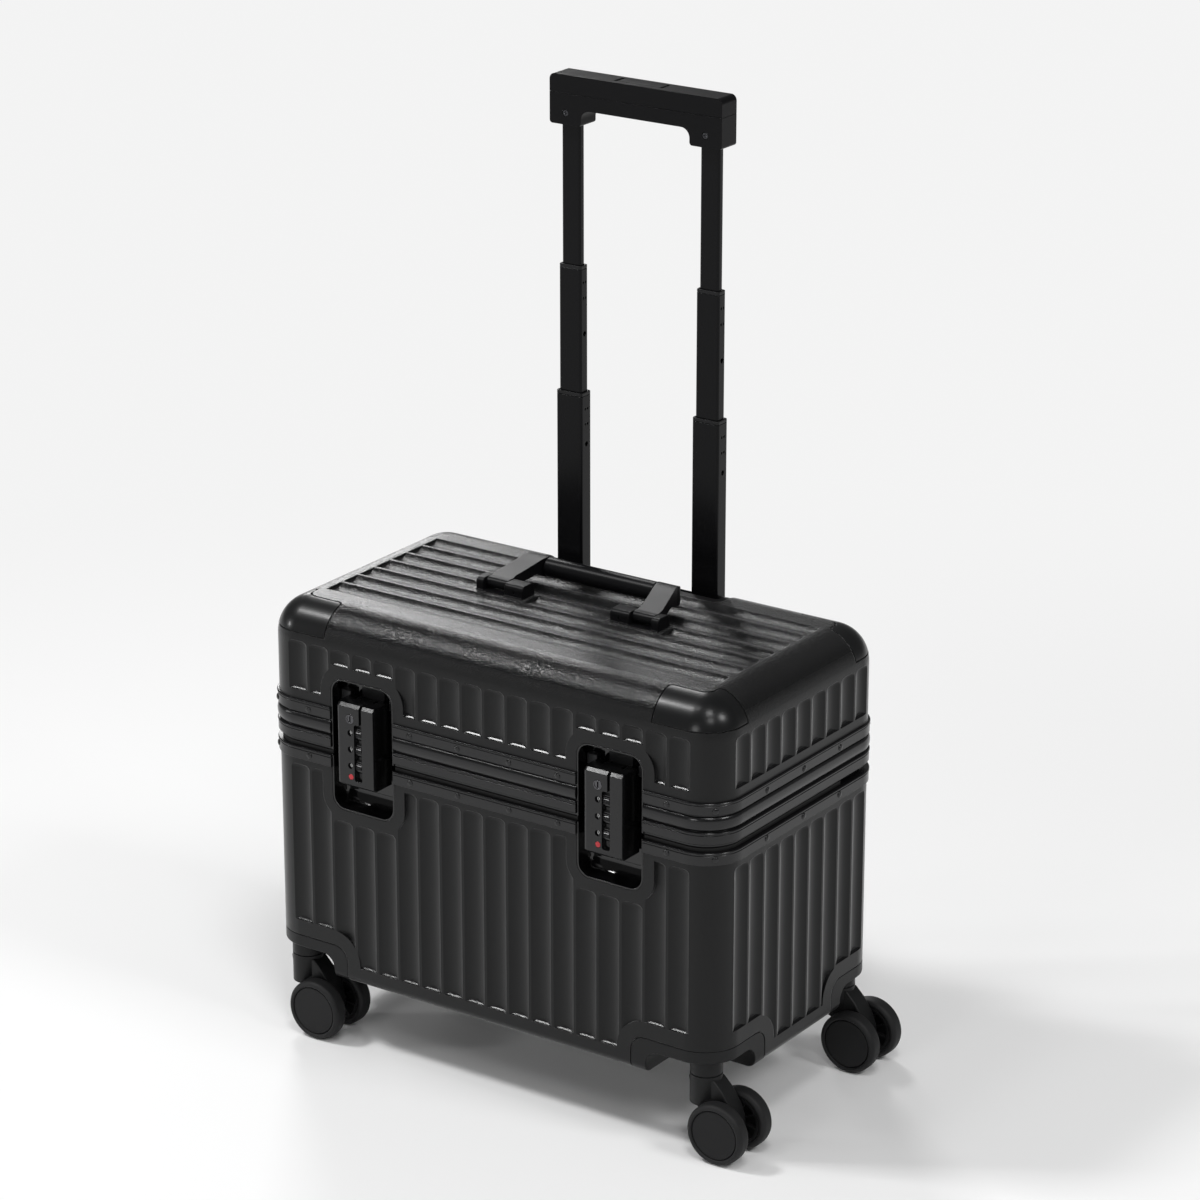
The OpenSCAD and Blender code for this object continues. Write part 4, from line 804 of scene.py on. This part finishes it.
def lockBody():
    half, front, low, high = lock["halfWidth"], lock["front"], lock["low"], lock["high"]
    y, z = lock["hingeY"], lock["hingeZ"]
    body = block("lock", (-half, front, low), (half, lock["back"], high))
    roundEdges(body, lambda a, b: max(a.y, b.y) < front + 0.1 and abs(a.z - b.z) < 0.01, lock["chamfer"], 1)
    slope = front + lock["chamfer"] + 0.1
    roundEdges(body, lambda a, b: max(a.x, b.x) < 0.1 - half and max(a.y, b.y) < slope and abs(a.z - b.z) > 0.1, 3.6, 5)
    roundEdges(body, lambda a, b: min(a.x, b.x) > half - 0.1 and max(a.y, b.y) < slope and abs(a.z - b.z) > 0.1, 0.7, 2)
    roundEdges(body, lambda a, b: min(a.y, b.y) > lock["back"] - 0.1 and min(a.z, b.z) > high - 0.1, 5, 8)
    cut(body, block("hingeNotch", (-11.5, y - 5.4, z - 6), (11.5, y + 30, z + 40)))
    barrel = rod("barrel", (-7.5, y, z), "X", 4.3, 15, 48)
    cut(barrel, block("neck", (-7.5, y - 6, z - 4.3), (7.5, y, z + 4.3)), "UNION")
    cut(body, barrel, "UNION")
    depth = front + lock["grooveDepth"]
    wide = block("groove", (lock["grooveLeft"], front - 2, 246), (lock["grooveRight"], depth, lock["dialZ"] + 22.1))
    roundEdges(wide, lambda a, b: abs(a.x - b.x) < 0.01 and abs(a.z - b.z) < 0.01, 2.2, 5)
    cut(body, wide)
    cut(body, block("groove", (lock["narrowLeft"], front - 2, 280), (lock["grooveRight"], depth, high + 6)))
    for i in (-1, 0, 1):
        level = lock["dialZ"] + i * lock["pitch"]
        for x, radius, length in ((-0.8, lock["ringRadius"] + 0.4, 6.8), (-8.8, lock["drumRadius"] + 0.4, 9)):
            cut(body, rod("dialSpace", (x, lock["dialY"], level), "X", radius, length, 48))
        cut(body, rod("window", (lock["window"], front - 2, level), "Y", 2.5, 5, 32))
    cut(body, rod("keyHole", (lock["window"], front - 2, lock["keyZ"]), "Y", 4.08, 14.3, 48))
    cut(body, rod("dotSeat", (lock["window"] + 0.3, front - 2, lock["dotZ"]), "Y", 2.5, 2.5, 32))
    for level in (245, 266):
        cut(body, rod("screwSeat", (half - 0.6, -121.2, level), "X", 1.5, 2, 24))
    return body


def makeDials():
    deselectAll()
    y, z = lock["dialY"], lock["dialZ"]
    ring = rod("ring", (-0.4, y, z), "X", lock["ringRadius"], 6, 80)
    for vertex in ring.data.vertices:
        out = Vector((0, vertex.co.y / mm - y, vertex.co.z / mm - z))
        step = round(math.degrees(math.atan2(out.z, out.y)) / 4.5) % 4
        if step == 0:
            vertex.co -= out * 0.12 * mm
        elif step in (1, 3):
            vertex.co -= out * 0.04 * mm
    pickFaces(ring, lambda c, n: abs(n.x) > 0.9)
    bpy.ops.mesh.inset(thickness=0.5 * mm, depth=0.35 * mm)
    bpy.ops.object.mode_set(mode="OBJECT")
    drum = rod("drum", (-8.4, y, z), "X", lock["drumRadius"], 9, 60)
    spindle = rod("spindle", (-10.2, y, z), "X", 1.4, 17.6, 24)
    wheel = joined([ring, drum, spindle], "dial")
    digits = []
    for number in range(10):
        deselectAll()
        bpy.ops.object.text_add(location=(0, 0, 0))
        digit = bpy.context.object
        digit.data.body = str(number)
        digit.data.size = 4.3 * mm
        digit.data.align_x = "CENTER"
        digit.data.align_y = "CENTER"
        digit.data.extrude = 0.12 * mm
        bpy.ops.object.convert(target="MESH")
        digit = bpy.context.object
        stand = Matrix.Translation((lock["window"] * mm, -lock["drumRadius"] * mm, 0)) @ Matrix.Rotation(
            math.pi / 2, 4, "X")
        around = Matrix.Rotation(math.radians(36 * number), 4, "X")
        digit.data.transform(Matrix.Translation((0, y * mm, z * mm)) @ around @ stand)
        digits.append(digit)
    numbers = joined(digits, "numbers")
    for label, side in (("left", -1), ("right", 1)):
        for i in (1, 2, 3):
            shift = (side * lock["x"], 0, (2 - i) * lock["pitch"])
            body = "wheel_" + label + "_" + str(i)
            node = "dial_" + label + "_" + str(i)
            finished(copyOf(wheel, shift=shift), node.replace("_", "Wheel_", 1), body, dialLook, [node], 40)
            finished(copyOf(numbers, shift=shift), node.replace("_", "Numbers_", 1), body, paleLook)
    bpy.data.objects.remove(wheel)
    bpy.data.objects.remove(numbers)


def makeLocks():
    front, back, half = lock["front"], lock["back"], lock["halfWidth"]
    seam = front + lock["plate"]
    whole = lockBody()
    plate = copyOf(whole, "lockPlate")
    cut(plate, block("behindPlate", (-60, seam, 200), (60, back + 20, 340)))
    cut(whole, block("beforeBody", (-60, front - 20, 200), (60, seam, 340)))
    softEdges(plate, 0.25, 2, 50)
    key = rod("key", (lock["window"], front - 0.3, lock["keyZ"]), "Y", 4, 12, 48)
    roundEdges(key, lambda a, b: max(a.y, b.y) < front, 0.4, 3)
    cut(key, rod("keyFace", (lock["window"], front - 2, lock["keyZ"]), "Y", 3, 2.3, 48))
    cut(key, block("keySlot", (lock["window"] - 0.6, front - 2, lock["keyZ"] - 2.4),
                   (lock["window"] + 0.6, front + 4.7, lock["keyZ"] + 2.4)))
    dot = rod("dot", (lock["window"] + 0.3, front - 0.15, lock["dotZ"]), "Y", 2.35, 1.2, 48)
    roundEdges(dot, lambda a, b: max(a.y, b.y) < front, 0.4, 3)
    screws = []
    for level in (245, 266):
        screw = rod("sideScrew", (half - 2, -121.2, level), "X", 1.3, 1.8, 24)
        cut(screw, block("screwSlot", (half - 0.7, -122.3, level - 0.25), (half + 1, -120.1, level + 0.25)))
        screws.append(screw)
    screws = joined(screws, "sideScrews")
    for label, side in (("left", -1), ("right", 1)):
        shift, body = (side * lock["x"], 0, 0), "lever_" + label
        finished(copyOf(whole, shift=shift), "lockBody_" + label, body, lockSideLook, ["lock_" + label])
        finished(copyOf(plate, shift=shift), "lockPlate_" + label, body, lockLook)
        finished(copyOf(dot, shift=shift), "lockDot_" + label, body, redLook)
        finished(copyOf(screws, shift=shift), "lockScrews_" + label, body, keyLook)
        finished(copyOf(key, shift=shift), "keyCylinder_" + label, "key_" + label, keyLook,
                 ["key_cylinder_" + label])
    for piece in (whole, plate, key, dot, screws):
        bpy.data.objects.remove(piece)


def makeLockBrackets():
    # The plate, ears and pin that carry a lock, with the two bearing blocks beside it
    y, z = lock["hingeY"], lock["hingeZ"]
    plate = block("bracket", (-11.1, -104, 298), (11.1, -103, 322))
    for s in (-1, 1):
        ear = block("ear", (s * 9.6 - 1.5, y, z - 3.5), (s * 9.6 + 1.5, -103.5, z + 3.5))
        cut(ear, rod("earEnd", (s * 9.6 - 1.5, y, z), "X", 3.5, 3, 40), "UNION")
        cut(plate, ear, "UNION")
        bearing = block("bearing", (s * 24 - 5, -109, 304), (s * 24 + 5, -102.9, 313.5))
        softEdges(bearing, 1.2, 3, 50)
        cut(plate, bearing, "UNION")
    softEdges(plate, 0.3, 2, 50)
    pin = rod("pin", (-11.1, y, z), "X", 1.5, 22.2, 32)
    piece = joined([plate, pin], "bracket")
    for label, side in (("left", -1), ("right", 1)):
        finished(copyOf(piece, shift=(side * lock["x"], 0, 0)), "lockBracket_" + label, "lid", bracketLook,
                 ["lock_bracket_" + label])
    bpy.data.objects.remove(piece)


# Carry handle
carry = dict(
    axis=(1.5, 386), knuckle=4.7, grip=(44.5, 391.5), gripRadius=8, halfGrip=52.9, armIn=61.1, armOut=81.1, shift=8,
    taper=11, earIn=81.5, earOut=88.5, blockIn=42.5, blockOut=60.7, bracketDepth=17, bracketHeight=10.5,
)


def makeCarryHandle():
    (y, z), (gripY, gripZ) = carry["axis"], carry["grip"]
    inner, outer, shift = carry["armIn"], carry["armOut"], carry["shift"]
    side = arc((y, z), carry["knuckle"], -90, -270, 14)
    side += [(y + 4, z + carry["knuckle"]), (gripY - 14, gripZ + 5.4), (gripY - 6, gripZ + 7.7)]
    side += arc((gripY, gripZ), carry["gripRadius"] + 0.4, 90, -90, 18)
    side += [(gripY - 5, gripZ - 7.2), (gripY - 12, gripZ - 4)]
    arm = sheet("arm", side, "X", inner - 20, outer + 20)
    back = gripY + 9
    plan = [(inner, y - 6), (outer, y - 6), (outer, carry["taper"]), (outer - shift, gripY - 2)]
    plan += arc((outer - shift - 8, back - 8), 8, 0, 90, 8)
    plan += [(inner - shift, back), (inner - shift, gripY), (inner, carry["taper"])]
    cut(arm, sheet("armPlan", plan, "Z", 370, 420), "INTERSECT")
    softEdges(arm, 0.9, 3, 40)
    cut(arm, rod("pinHole", (inner - 5, y, z), "X", 2.08, 40, 32))
    arms = joined([arm, mirrored(arm, "arm", (-1, 1))], "carryArms")
    core = rod("core", (-inner, gripY, gripZ), "X", 4, 2 * inner, 32)
    finished(joined([arms, core]), "carryArms", "carry_handle", handleLook, ["carry_arms"], 40)
    half = carry["halfGrip"]
    grip = rod("grip", (-half, gripY, gripZ), "X", carry["gripRadius"], 2 * half, 96)
    softEdges(grip, 0.8, 3, 50)
    finished(grip, "carryGrip", "carry_handle", handleLook, ["carry_grip"], 40)

    depth, high = carry["bracketDepth"] / 2, carry["bracketHeight"]
    top = 380 + high
    outline = [(y - depth, 380), (y + depth, 380)] + arc((y + depth - 4, top - 4), 4, 0, 90, 8)
    outline += arc((y - depth + 4, top - 4), 4, 90, 180, 8)
    ears = []
    for low, far in ((carry["earIn"], carry["earOut"]), (carry["blockIn"], carry["blockOut"])):
        ear = sheet("bracketEar", outline, "X", low, far)
        softEdges(ear, 0.7, 3, 40)
        ears.append(ear)
    slot = block("earSlot", (carry["blockIn"] + 8, y - depth - 1, 383), (carry["blockIn"] + 9, y - depth + 1, top - 5))
    cut(ears[1], slot)
    base = block("bracketBase", (carry["blockIn"], y - depth - 0.4, 380), (carry["earOut"], y + depth + 0.4, 380.9))
    softEdges(base, 0.3, 2, 50)
    bracket = joined(ears + [base], "bracket")
    bracket = joined([bracket, mirrored(bracket, "bracket", (-1, 1))], "handleBrackets")
    finished(bracket, "handleBrackets", "lid", handleLook, ["handle_brackets"], 40)


# Pull handle
pull = dict(
    x=66.1, y=99.15, width=163, depth=21, low=747.5, high=788, bar=761, seam=773, jaw=30,
    stages=(
        dict(name="wide", width=25, depth=14, low=286.8, high=525.4, inner=(22.0, 11.0), body="trolley_lower",
             marks=(14, 27), hole=44),
        dict(name="middle", width=21.4, depth=10.4, low=477.4, high=631.4, inner=(18.4, 7.4), body="trolley_middle",
             marks=(14, 27), hole=57),
        dict(name="narrow", width=17.8, depth=6.8, low=583.4, high=761.5, inner=None, body="trolley_upper",
             marks=(), hole=None),
    ),
)


def makeTubes():
    y = pull["y"]
    for stage in pull["stages"]:
        name, width, depth, high = stage["name"], stage["width"], stage["depth"], stage["high"]
        top = high - 3 if stage["inner"] else high
        tube = barBetween("tube", (pull["x"], y), width, depth, stage["low"], top, 2)
        cut(tube, barBetween("bore", (pull["x"], y), width - 2.6, depth - 2.6, stage["low"] - 5, top + 5, 1.35))
        face = pull["x"] + width / 2
        for mark in stage["marks"]:
            cut(tube, rod("mark", (face - 0.9, y - 1.6, high - mark), "X", 1.15, 4, 24))
            cut(tube, rod("mark", (face - 0.9, y + 1.6, high - mark), "X", 1.15, 4, 24))
        if stage["hole"]:
            cut(tube, rod("stopHole", (face - 4, y, high - stage["hole"]), "X", 2.1, 8, 32))
        twin = copyOf(tube, shift=(-2 * pull["x"], 0, 0))
        finished(joined([tube, twin]), name + "Tubes", stage["body"], tubeLook, [name + "_tubes"], 40)
        if stage["inner"]:
            collar = barBetween("collar", (pull["x"], y), width, depth, top + 0.05, high, 2)
            innerWidth, innerDepth = stage["inner"]
            softEdges(collar, 0.45, 2, 50)
            cut(collar, barBetween("bore", (pull["x"], y), innerWidth, innerDepth, top - 2, high + 2, 1.35))
            twin = copyOf(collar, shift=(-2 * pull["x"], 0, 0))
            finished(joined([collar, twin]), name + "Collars", stage["body"], trimLook, angle=40)


def makePullGrip():
    half, low, high, bar = pull["width"] / 2, pull["low"], pull["high"], pull["bar"]
    front, back = pull["y"] - pull["depth"] / 2, pull["y"] + pull["depth"] / 2
    jaw = half - pull["jaw"]
    right = [(jaw, bar - 8)] + arc((jaw + 2.5, low + 2.5), 2.5, 180, 270, 5)
    right += arc((half - 2.5, low + 2.5), 2.5, 270, 360, 5) + arc((half - 5, high - 5), 5, 0, 90, 8)
    inner = arc((jaw - 8, bar - 8), 8, 90, 0, 8)[:-1]
    outline = inner + right
    outline += [(-x, z) for x, z in reversed(outline)]
    grip = sheet("grip", outline, "Y", front, back)
    roundEdges(grip, lambda a, b: min(a.z, b.z) > high - 0.01 and min(a.y, b.y) > back - 0.01, 11, 12)
    roundEdges(grip, lambda a, b: min(a.z, b.z) > high - 0.01 and max(a.y, b.y) < front + 0.01, 2.5, 6)
    softEdges(grip, 1.1, 3, 45)
    solid = copyOf(grip, "solid")
    cap = copyOf(grip, "cap")
    cut(grip, block("aboveSeam", (-100, 0, pull["seam"] - 0.15), (100, 200, 800)))
    cut(cap, block("belowSeam", (-100, 0, 700), (100, 200, pull["seam"] + 0.15)))
    cavity = block("cavity", (-half + 4, pull["y"] - 7.5, bar + 4), (half - 4, pull["y"] + 7.5, high - 3))
    cut(grip, cavity, keep=True)
    cut(cap, cavity)
    for side in (-1, 1):
        x = side * pull["x"]
        cut(grip, barBetween("socket", (x, pull["y"]), 18, 7, low - 2, low + 14.1, 2))
        cut(grip, rod("rodHole", (x, pull["y"], low - 2), "Z", 1.6, 50, 24))
        cut(grip, rod("screwSeat", (x, front - 1, low + 9.5), "Y", 2.9, 2.6, 40))
        cut(grip, rod("screwHole", (x, front - 1, low + 9.5), "Y", 1.4, 6, 24))
    softEdges(grip, 0.3, 2, 60)
    cut(cap, block("buttonSpace", (-20.9, pull["y"] - 5.4, pull["seam"]), (20.9, pull["y"] + 5.4, high + 5)))
    for end in (-1, 1):
        cut(cap, rod("buttonNotch", (end * 21.4, pull["y"] - 6, high + 0.2), "Y", 1.5, 12, 24))
    softEdges(cap, 0.3, 2, 60)
    finished(grip, "pullGrip", "trolley_upper", handleLook, ["pull_grip"], 40)
    finished(cap, "pullCap", "trolley_upper", handleLook, ["pull_cap"], 40)
    button = block("button", (-20.5, pull["y"] - 5, high - 10), (20.5, pull["y"] + 5, high + 2))
    cut(button, solid, "INTERSECT")
    softEdges(button, 0.7, 3, 50)
    flange = block("flange", (-23.5, pull["y"] - 6, high - 6.3), (23.5, pull["y"] + 6, high - 3.3))
    softEdges(flange, 0.4, 2, 50)
    finished(joined([button, flange]), "releaseButton", "button", handleLook, ["release_button"], 40)
    screws = []
    for side in (-1, 1):
        x, z = side * pull["x"], low + 9.5
        head = rod("screw", (x, front + 0.1, z), "Y", 2.6, 1.3, 40)
        roundEdges(head, lambda a, b: max(a.y, b.y) < front + 0.2, 0.4, 2)
        cut(head, block("cross", (x - 1.7, front - 0.5, z - 0.35), (x + 1.7, front + 0.9, z + 0.35)))
        cut(head, block("cross", (x - 0.35, front - 0.5, z - 1.7), (x + 0.35, front + 0.9, z + 1.7)))
        screws += [head, rod("shank", (x, front + 1.3, z), "Y", 1.2, 3.4, 20)]
    finished(joined(screws), "pullScrews", "trolley_upper", screwLook, ["pull_screws"], 40)


# Housing of the pull handle and the lining
def makeHousing():
    front, back, top = bay["front"] + 1, case["halfDepth"] - 0.5, case["top"] - 2
    low = case["bottom"] + case["wall"] + 0.2
    body = block("housing", (-90, front, low), (90, back - 2.8, 257.2))
    roundEdges(body, lambda a, b: upright(a, b) and a.y < 100, 8, 8)
    roundEdges(body, lambda a, b: max(a.z, b.z) < low + 0.1 and min(a.y, b.y) > back - 3, 6, 6)
    upper = block("housingUpper", (-90, front, 257), (90, back, top))
    roundEdges(upper, lambda a, b: upright(a, b) and a.y < 100, 8, 8)
    roundEdges(upper, lambda a, b: min(a.z, b.z) > top - 0.1 and min(a.y, b.y) > back - 0.1, 28, 16)
    roundEdges(upper, lambda a, b: min(a.z, b.z) > top - 0.1 and max(a.y, b.y) < front + 9, 3, 5)
    cut(body, upper, "UNION")
    cup = barBetween("cup", (0, pull["y"]), 166, 23, 338, 400, 4)
    cut(body, cup)
    hollowSpace = block("housingHollow", (-87.5, front + 2.5, low + 2.5), (87.5, back - 5.3, 335))
    cut(body, hollowSpace)
    softEdges(body, 0.7, 3, 50)
    for side in (-1, 1):
        cut(body, barBetween("tubeWay", (side * pull["x"], pull["y"]), 26, 15, 330, 345, 2))
    finished(body, "trolleyHousing", "root", guardLook, ["trolley_housing"], 35)


def makeLinings():
    # Cloth on a thin board: inside the shells, clear of guards, pockets and the housing
    inset, thick = 5.3, 1.2
    for name, low, high, node in (("lower", 63.3, 256, "lower_lining"), ("lid", 264.2, 376.7, "lid_lining")):
        lining = block(name + "Lining", (-case["halfWidth"] + inset, -case["halfDepth"] + inset, low),
                       (case["halfWidth"] - inset, case["halfDepth"] - inset, high))
        if name == "lid":
            roundEdges(lining, lambda a, b: upright(a, b) or min(a.z, b.z) > high - 1, 25.7, 12)
            openAt = low
        else:
            roundEdges(lining, upright, 25.7, 12)
            roundEdges(lining, lambda a, b: max(a.z, b.z) < low + 0.01, 5, 6)
            openAt = high
        pickFaces(lining, lambda c, n: abs(c.z - openAt) < 0.01 and abs(n.z) > 0.9)
        bpy.ops.mesh.delete(type="FACE")
        bpy.ops.object.mode_set(mode="OBJECT")
        applyModifier(lining, "SOLIDIFY", thickness=thick * mm, offset=-1, use_even_offset=True)
        for side in (-1, 1):
            cut(lining, pocketSlab(side, 2.0, -160, 0))
        if name == "lower":
            for sx, sy in corners.values():
                cut(lining, guardSlab(0.8, sx, sy))
            cut(lining, bayCutter(-0.5, 0, 400))
        else:
            cut(lining, bayCutter(2.5, 0, 400))
            for side in (-1, 1):
                cut(lining, rod("bossSpace", (side * 98 - 8, 95.5, 371), "X", 4.6, 16, 32))
        softEdges(lining, 0.4, 3, 60)
        finished(lining, name + "Lining", "root" if name == "lower" else "lid", clothLook, [node], 35)


# Casters: one is made at a swivel axis on x = y = 0 and copied to the four corners, all trailing to +X
def makeCasters():
    x, z = caster["trail"], caster["wheelRadius"]
    neck = rod("neck", (0, 0, 41.5), "Z", caster["postRadius"], 24.5, 80)
    for start in (8.5, -33.5):
        cut(neck, rod("wheelSpace", (x, start, z), "Y", 26.3, 25, 96))
    softEdges(neck, 0.6, 2, 50)
    outline = [(-11.5, 64), (11.5, 64), (20, 55.5), (28, 43.5), (31.4, 34)] + arc((x, z), 10, 0, -156, 12)
    outline += [(2, 34), (-9, 41.5)]
    web = sheet("web", outline, "Y", -8.5, 8.5)
    softEdges(web, 1.6, 3, 40)
    cut(neck, web, "UNION")
    cut(neck, rod("axleHole", (x, -20, z), "Y", 3.08, 40, 32))
    stem = rod("stem", (0, 0, 60), "Z", 4, 27.5, 32)
    cut(neck, stem, "UNION")
    hub = rod("hub", (x, 10, z), "Y", 20.2, 12.9, 96)
    roundEdges(hub, lambda a, b: min(a.y, b.y) > 22, 0.7, 3)
    pickFaces(hub, lambda c, n: n.y < -0.9)
    bpy.ops.mesh.inset(thickness=2.4 * mm)
    bpy.ops.mesh.extrude_region_move(TRANSFORM_OT_translate={"value": (0, 4 * mm, 0)})
    bpy.ops.object.mode_set(mode="OBJECT")
    ribs = [rod("boss", (x, 9, z), "Y", 6.5, 6, 40)]
    for i in range(9):
        angle = math.radians(40 * i + 10)
        rib = block("rib", (6, 10.5, -0.6), (18.2, 14.5, 0.6))
        rib.data.transform(Matrix.Translation((x * mm, 0, z * mm)) @ Matrix.Rotation(angle, 4, "Y"))
        ribs.append(rib)
    axle = rod("axle", (x, -11, z), "Y", 3, 22, 40)
    hub = joined([hub] + ribs, "hub")
    other = copyOf(hub)
    other.data.transform(Matrix.Scale(-1, 4, (0, 1, 0)))
    other.data.flip_normals()
    hubs = joined([hub, other, axle], "hubs")
    wall = [(20.5, 10.4), (20.5, 21.9), (20.75, 22.9), (21.3, 23.5), (22.2, 23.85), (23.0, 23.7), (24.2, 22.9),
            (25.0, 21.9), (25.4, 20.7), (25.5, 19.4), (25.5, 14.6), (25.4, 13.2), (25.0, 12.0), (24.2, 11.0),
            (23.0, 10.2), (22.0, 10)]
    tyre = turned("tyre", wall)
    tyre.data.transform(Matrix.Translation((x * mm, 0, z * mm)))
    other = copyOf(tyre)
    other.data.transform(Matrix.Scale(-1, 4, (0, 1, 0)))
    other.data.flip_normals()
    tyres = joined([tyre, other], "tyres")
    for name, (sx, sy) in corners.items():
        shift = (sx * caster["x"], sy * caster["y"], 0)
        finished(copyOf(neck, shift=shift), "fork_" + name, "swivel_" + name, guardLook,
                 ["fork_" + name], 40)
        finished(copyOf(hubs, shift=shift), "wheelDiscs_" + name, "axle_" + name, discLook,
                 ["wheels_" + name], 35)
        finished(copyOf(tyres, shift=shift), "tyres_" + name, "axle_" + name, tyreLook)
    for piece in (neck, hubs, tyres):
        bpy.data.objects.remove(piece)


addCamera()
makeLowerShell()
print("lower shell ready")
makeLidShell()
print("lid shell ready")
makePads()
makeGuards()
print("pads and guards ready")
makeRails()
makeRivets()
makePockets()
print("rails and pockets ready")
makeLocks()
makeDials()
makeLockBrackets()
print("locks ready")
makeCarryHandle()
makeTubes()
makePullGrip()
print("handles ready")
makeHousing()
makeLinings()
makeCasters()
print("housing, linings and casters ready")

# Materials for the CAD nodes that stay as they are
nodeLooks = {"shell": shellLook, "frame": railLook, "rivets": rivetLook, "pad": padLook, "black_plastic": trimLook,
             "gloss_black": glossLook, "lock_black": lockLook, "key_metal": keyLook, "dial": trimLook,
             "tubes": tubeLook, "steel_pins": steelLook, "grip": trimLook, "rubber": sealLook,
             "lining": clothLook, "tyre": tyreLook}
for part in frame["record"]["subparts"]:
    piece = frame["nodes"][part["node"]]
    piece.data.materials.clear()
    piece.data.materials.append(nodeLooks[part["material_slot"]])


def makeStudio():
    deselectAll()
    bpy.ops.mesh.primitive_plane_add(size=40, location=(0, 0, 0))
    floor = bpy.context.object
    floor.name = "floor"
    paper, nodes, links, shader = newMaterial("floorPaper")
    shader.inputs["Base Color"].default_value = (0.9, 0.9, 0.9, 1)
    shader.inputs["Roughness"].default_value = 0.95
    shader.inputs["Specular IOR Level"].default_value = 0.1
    # Far from the case the paper shows as an even pale backdrop to the camera and in reflections
    place = nodes.new("ShaderNodeTexCoord")
    length = nodes.new("ShaderNodeVectorMath")
    length.operation = "LENGTH"
    links.new(place.outputs["Object"], length.inputs[0])
    away = nodes.new("ShaderNodeMapRange")
    away.interpolation_type = "SMOOTHSTEP"
    away.inputs["From Min"].default_value = 0.3
    away.inputs["From Max"].default_value = 1.5
    links.new(length.outputs["Value"], away.inputs["Value"])
    rays = nodes.new("ShaderNodeLightPath")
    seen = nodes.new("ShaderNodeMath")
    seen.operation = "MAXIMUM"
    links.new(rays.outputs["Is Camera Ray"], seen.inputs[0])
    links.new(rays.outputs["Is Glossy Ray"], seen.inputs[1])
    through = nodes.new("ShaderNodeMath")
    through.operation = "MAXIMUM"
    links.new(seen.outputs["Value"], through.inputs[0])
    links.new(rays.outputs["Is Transmission Ray"], through.inputs[1])
    share = nodes.new("ShaderNodeMath")
    share.operation = "MULTIPLY"
    links.new(away.outputs["Result"], share.inputs[0])
    links.new(through.outputs["Value"], share.inputs[1])
    pale = nodes.new("ShaderNodeEmission")
    pale.inputs["Color"].default_value = (0.9, 0.9, 0.9, 1)
    blend = nodes.new("ShaderNodeMixShader")
    links.new(share.outputs["Value"], blend.inputs["Fac"])
    links.new(shader.outputs["BSDF"], blend.inputs[1])
    links.new(pale.outputs["Emission"], blend.inputs[2])
    links.new(blend.outputs["Shader"], nodes["Material Output"].inputs["Surface"])
    floor.data.materials.append(paper)
    lamps = dict(
        frontRightHigh=dict(turn=-45, rise=62, size=0.8, power=26),
        frontRight=dict(turn=-45, rise=40, size=0.8, power=14),
        frontLeftHigh=dict(turn=-125, rise=66, size=0.6, power=8),
        leftHigh=dict(turn=-150, rise=52, size=0.5, power=50),
        left=dict(turn=-147, rise=13, size=0.25, power=14),
        frontLow=dict(turn=-90, rise=15, size=0.8, power=16),
        right=dict(turn=0, rise=40, size=0.8, power=32),
        backLeft=dict(turn=135, rise=40, size=0.6, power=25),
        backLeftLow=dict(turn=135, rise=15, size=0.8, power=17),
    )
    for name, lamp in lamps.items():
        turn, rise = math.radians(lamp["turn"]), math.radians(lamp["rise"])
        way = Vector((math.cos(turn) * math.cos(rise), math.sin(turn) * math.cos(rise), math.sin(rise)))
        bpy.ops.object.light_add(type="AREA", location=Vector((0, 0, 0.3)) + way * 3.6)
        light = bpy.context.object
        light.name = name
        light.data.size = lamp["size"]
        light.data.energy = lamp["power"]
        light.rotation_euler = (-way).to_track_quat("-Z", "Y").to_euler()
    world = bpy.data.worlds.new("paleRoom")
    scene.world = world
    world.use_nodes = True
    nodes, links = world.node_tree.nodes, world.node_tree.links
    nodes["Background"].inputs["Color"].default_value = (1, 1, 1, 1)
    nodes["Background"].inputs["Strength"].default_value = 0.16
    scene.view_settings.view_transform = "Standard"


makeStudio()
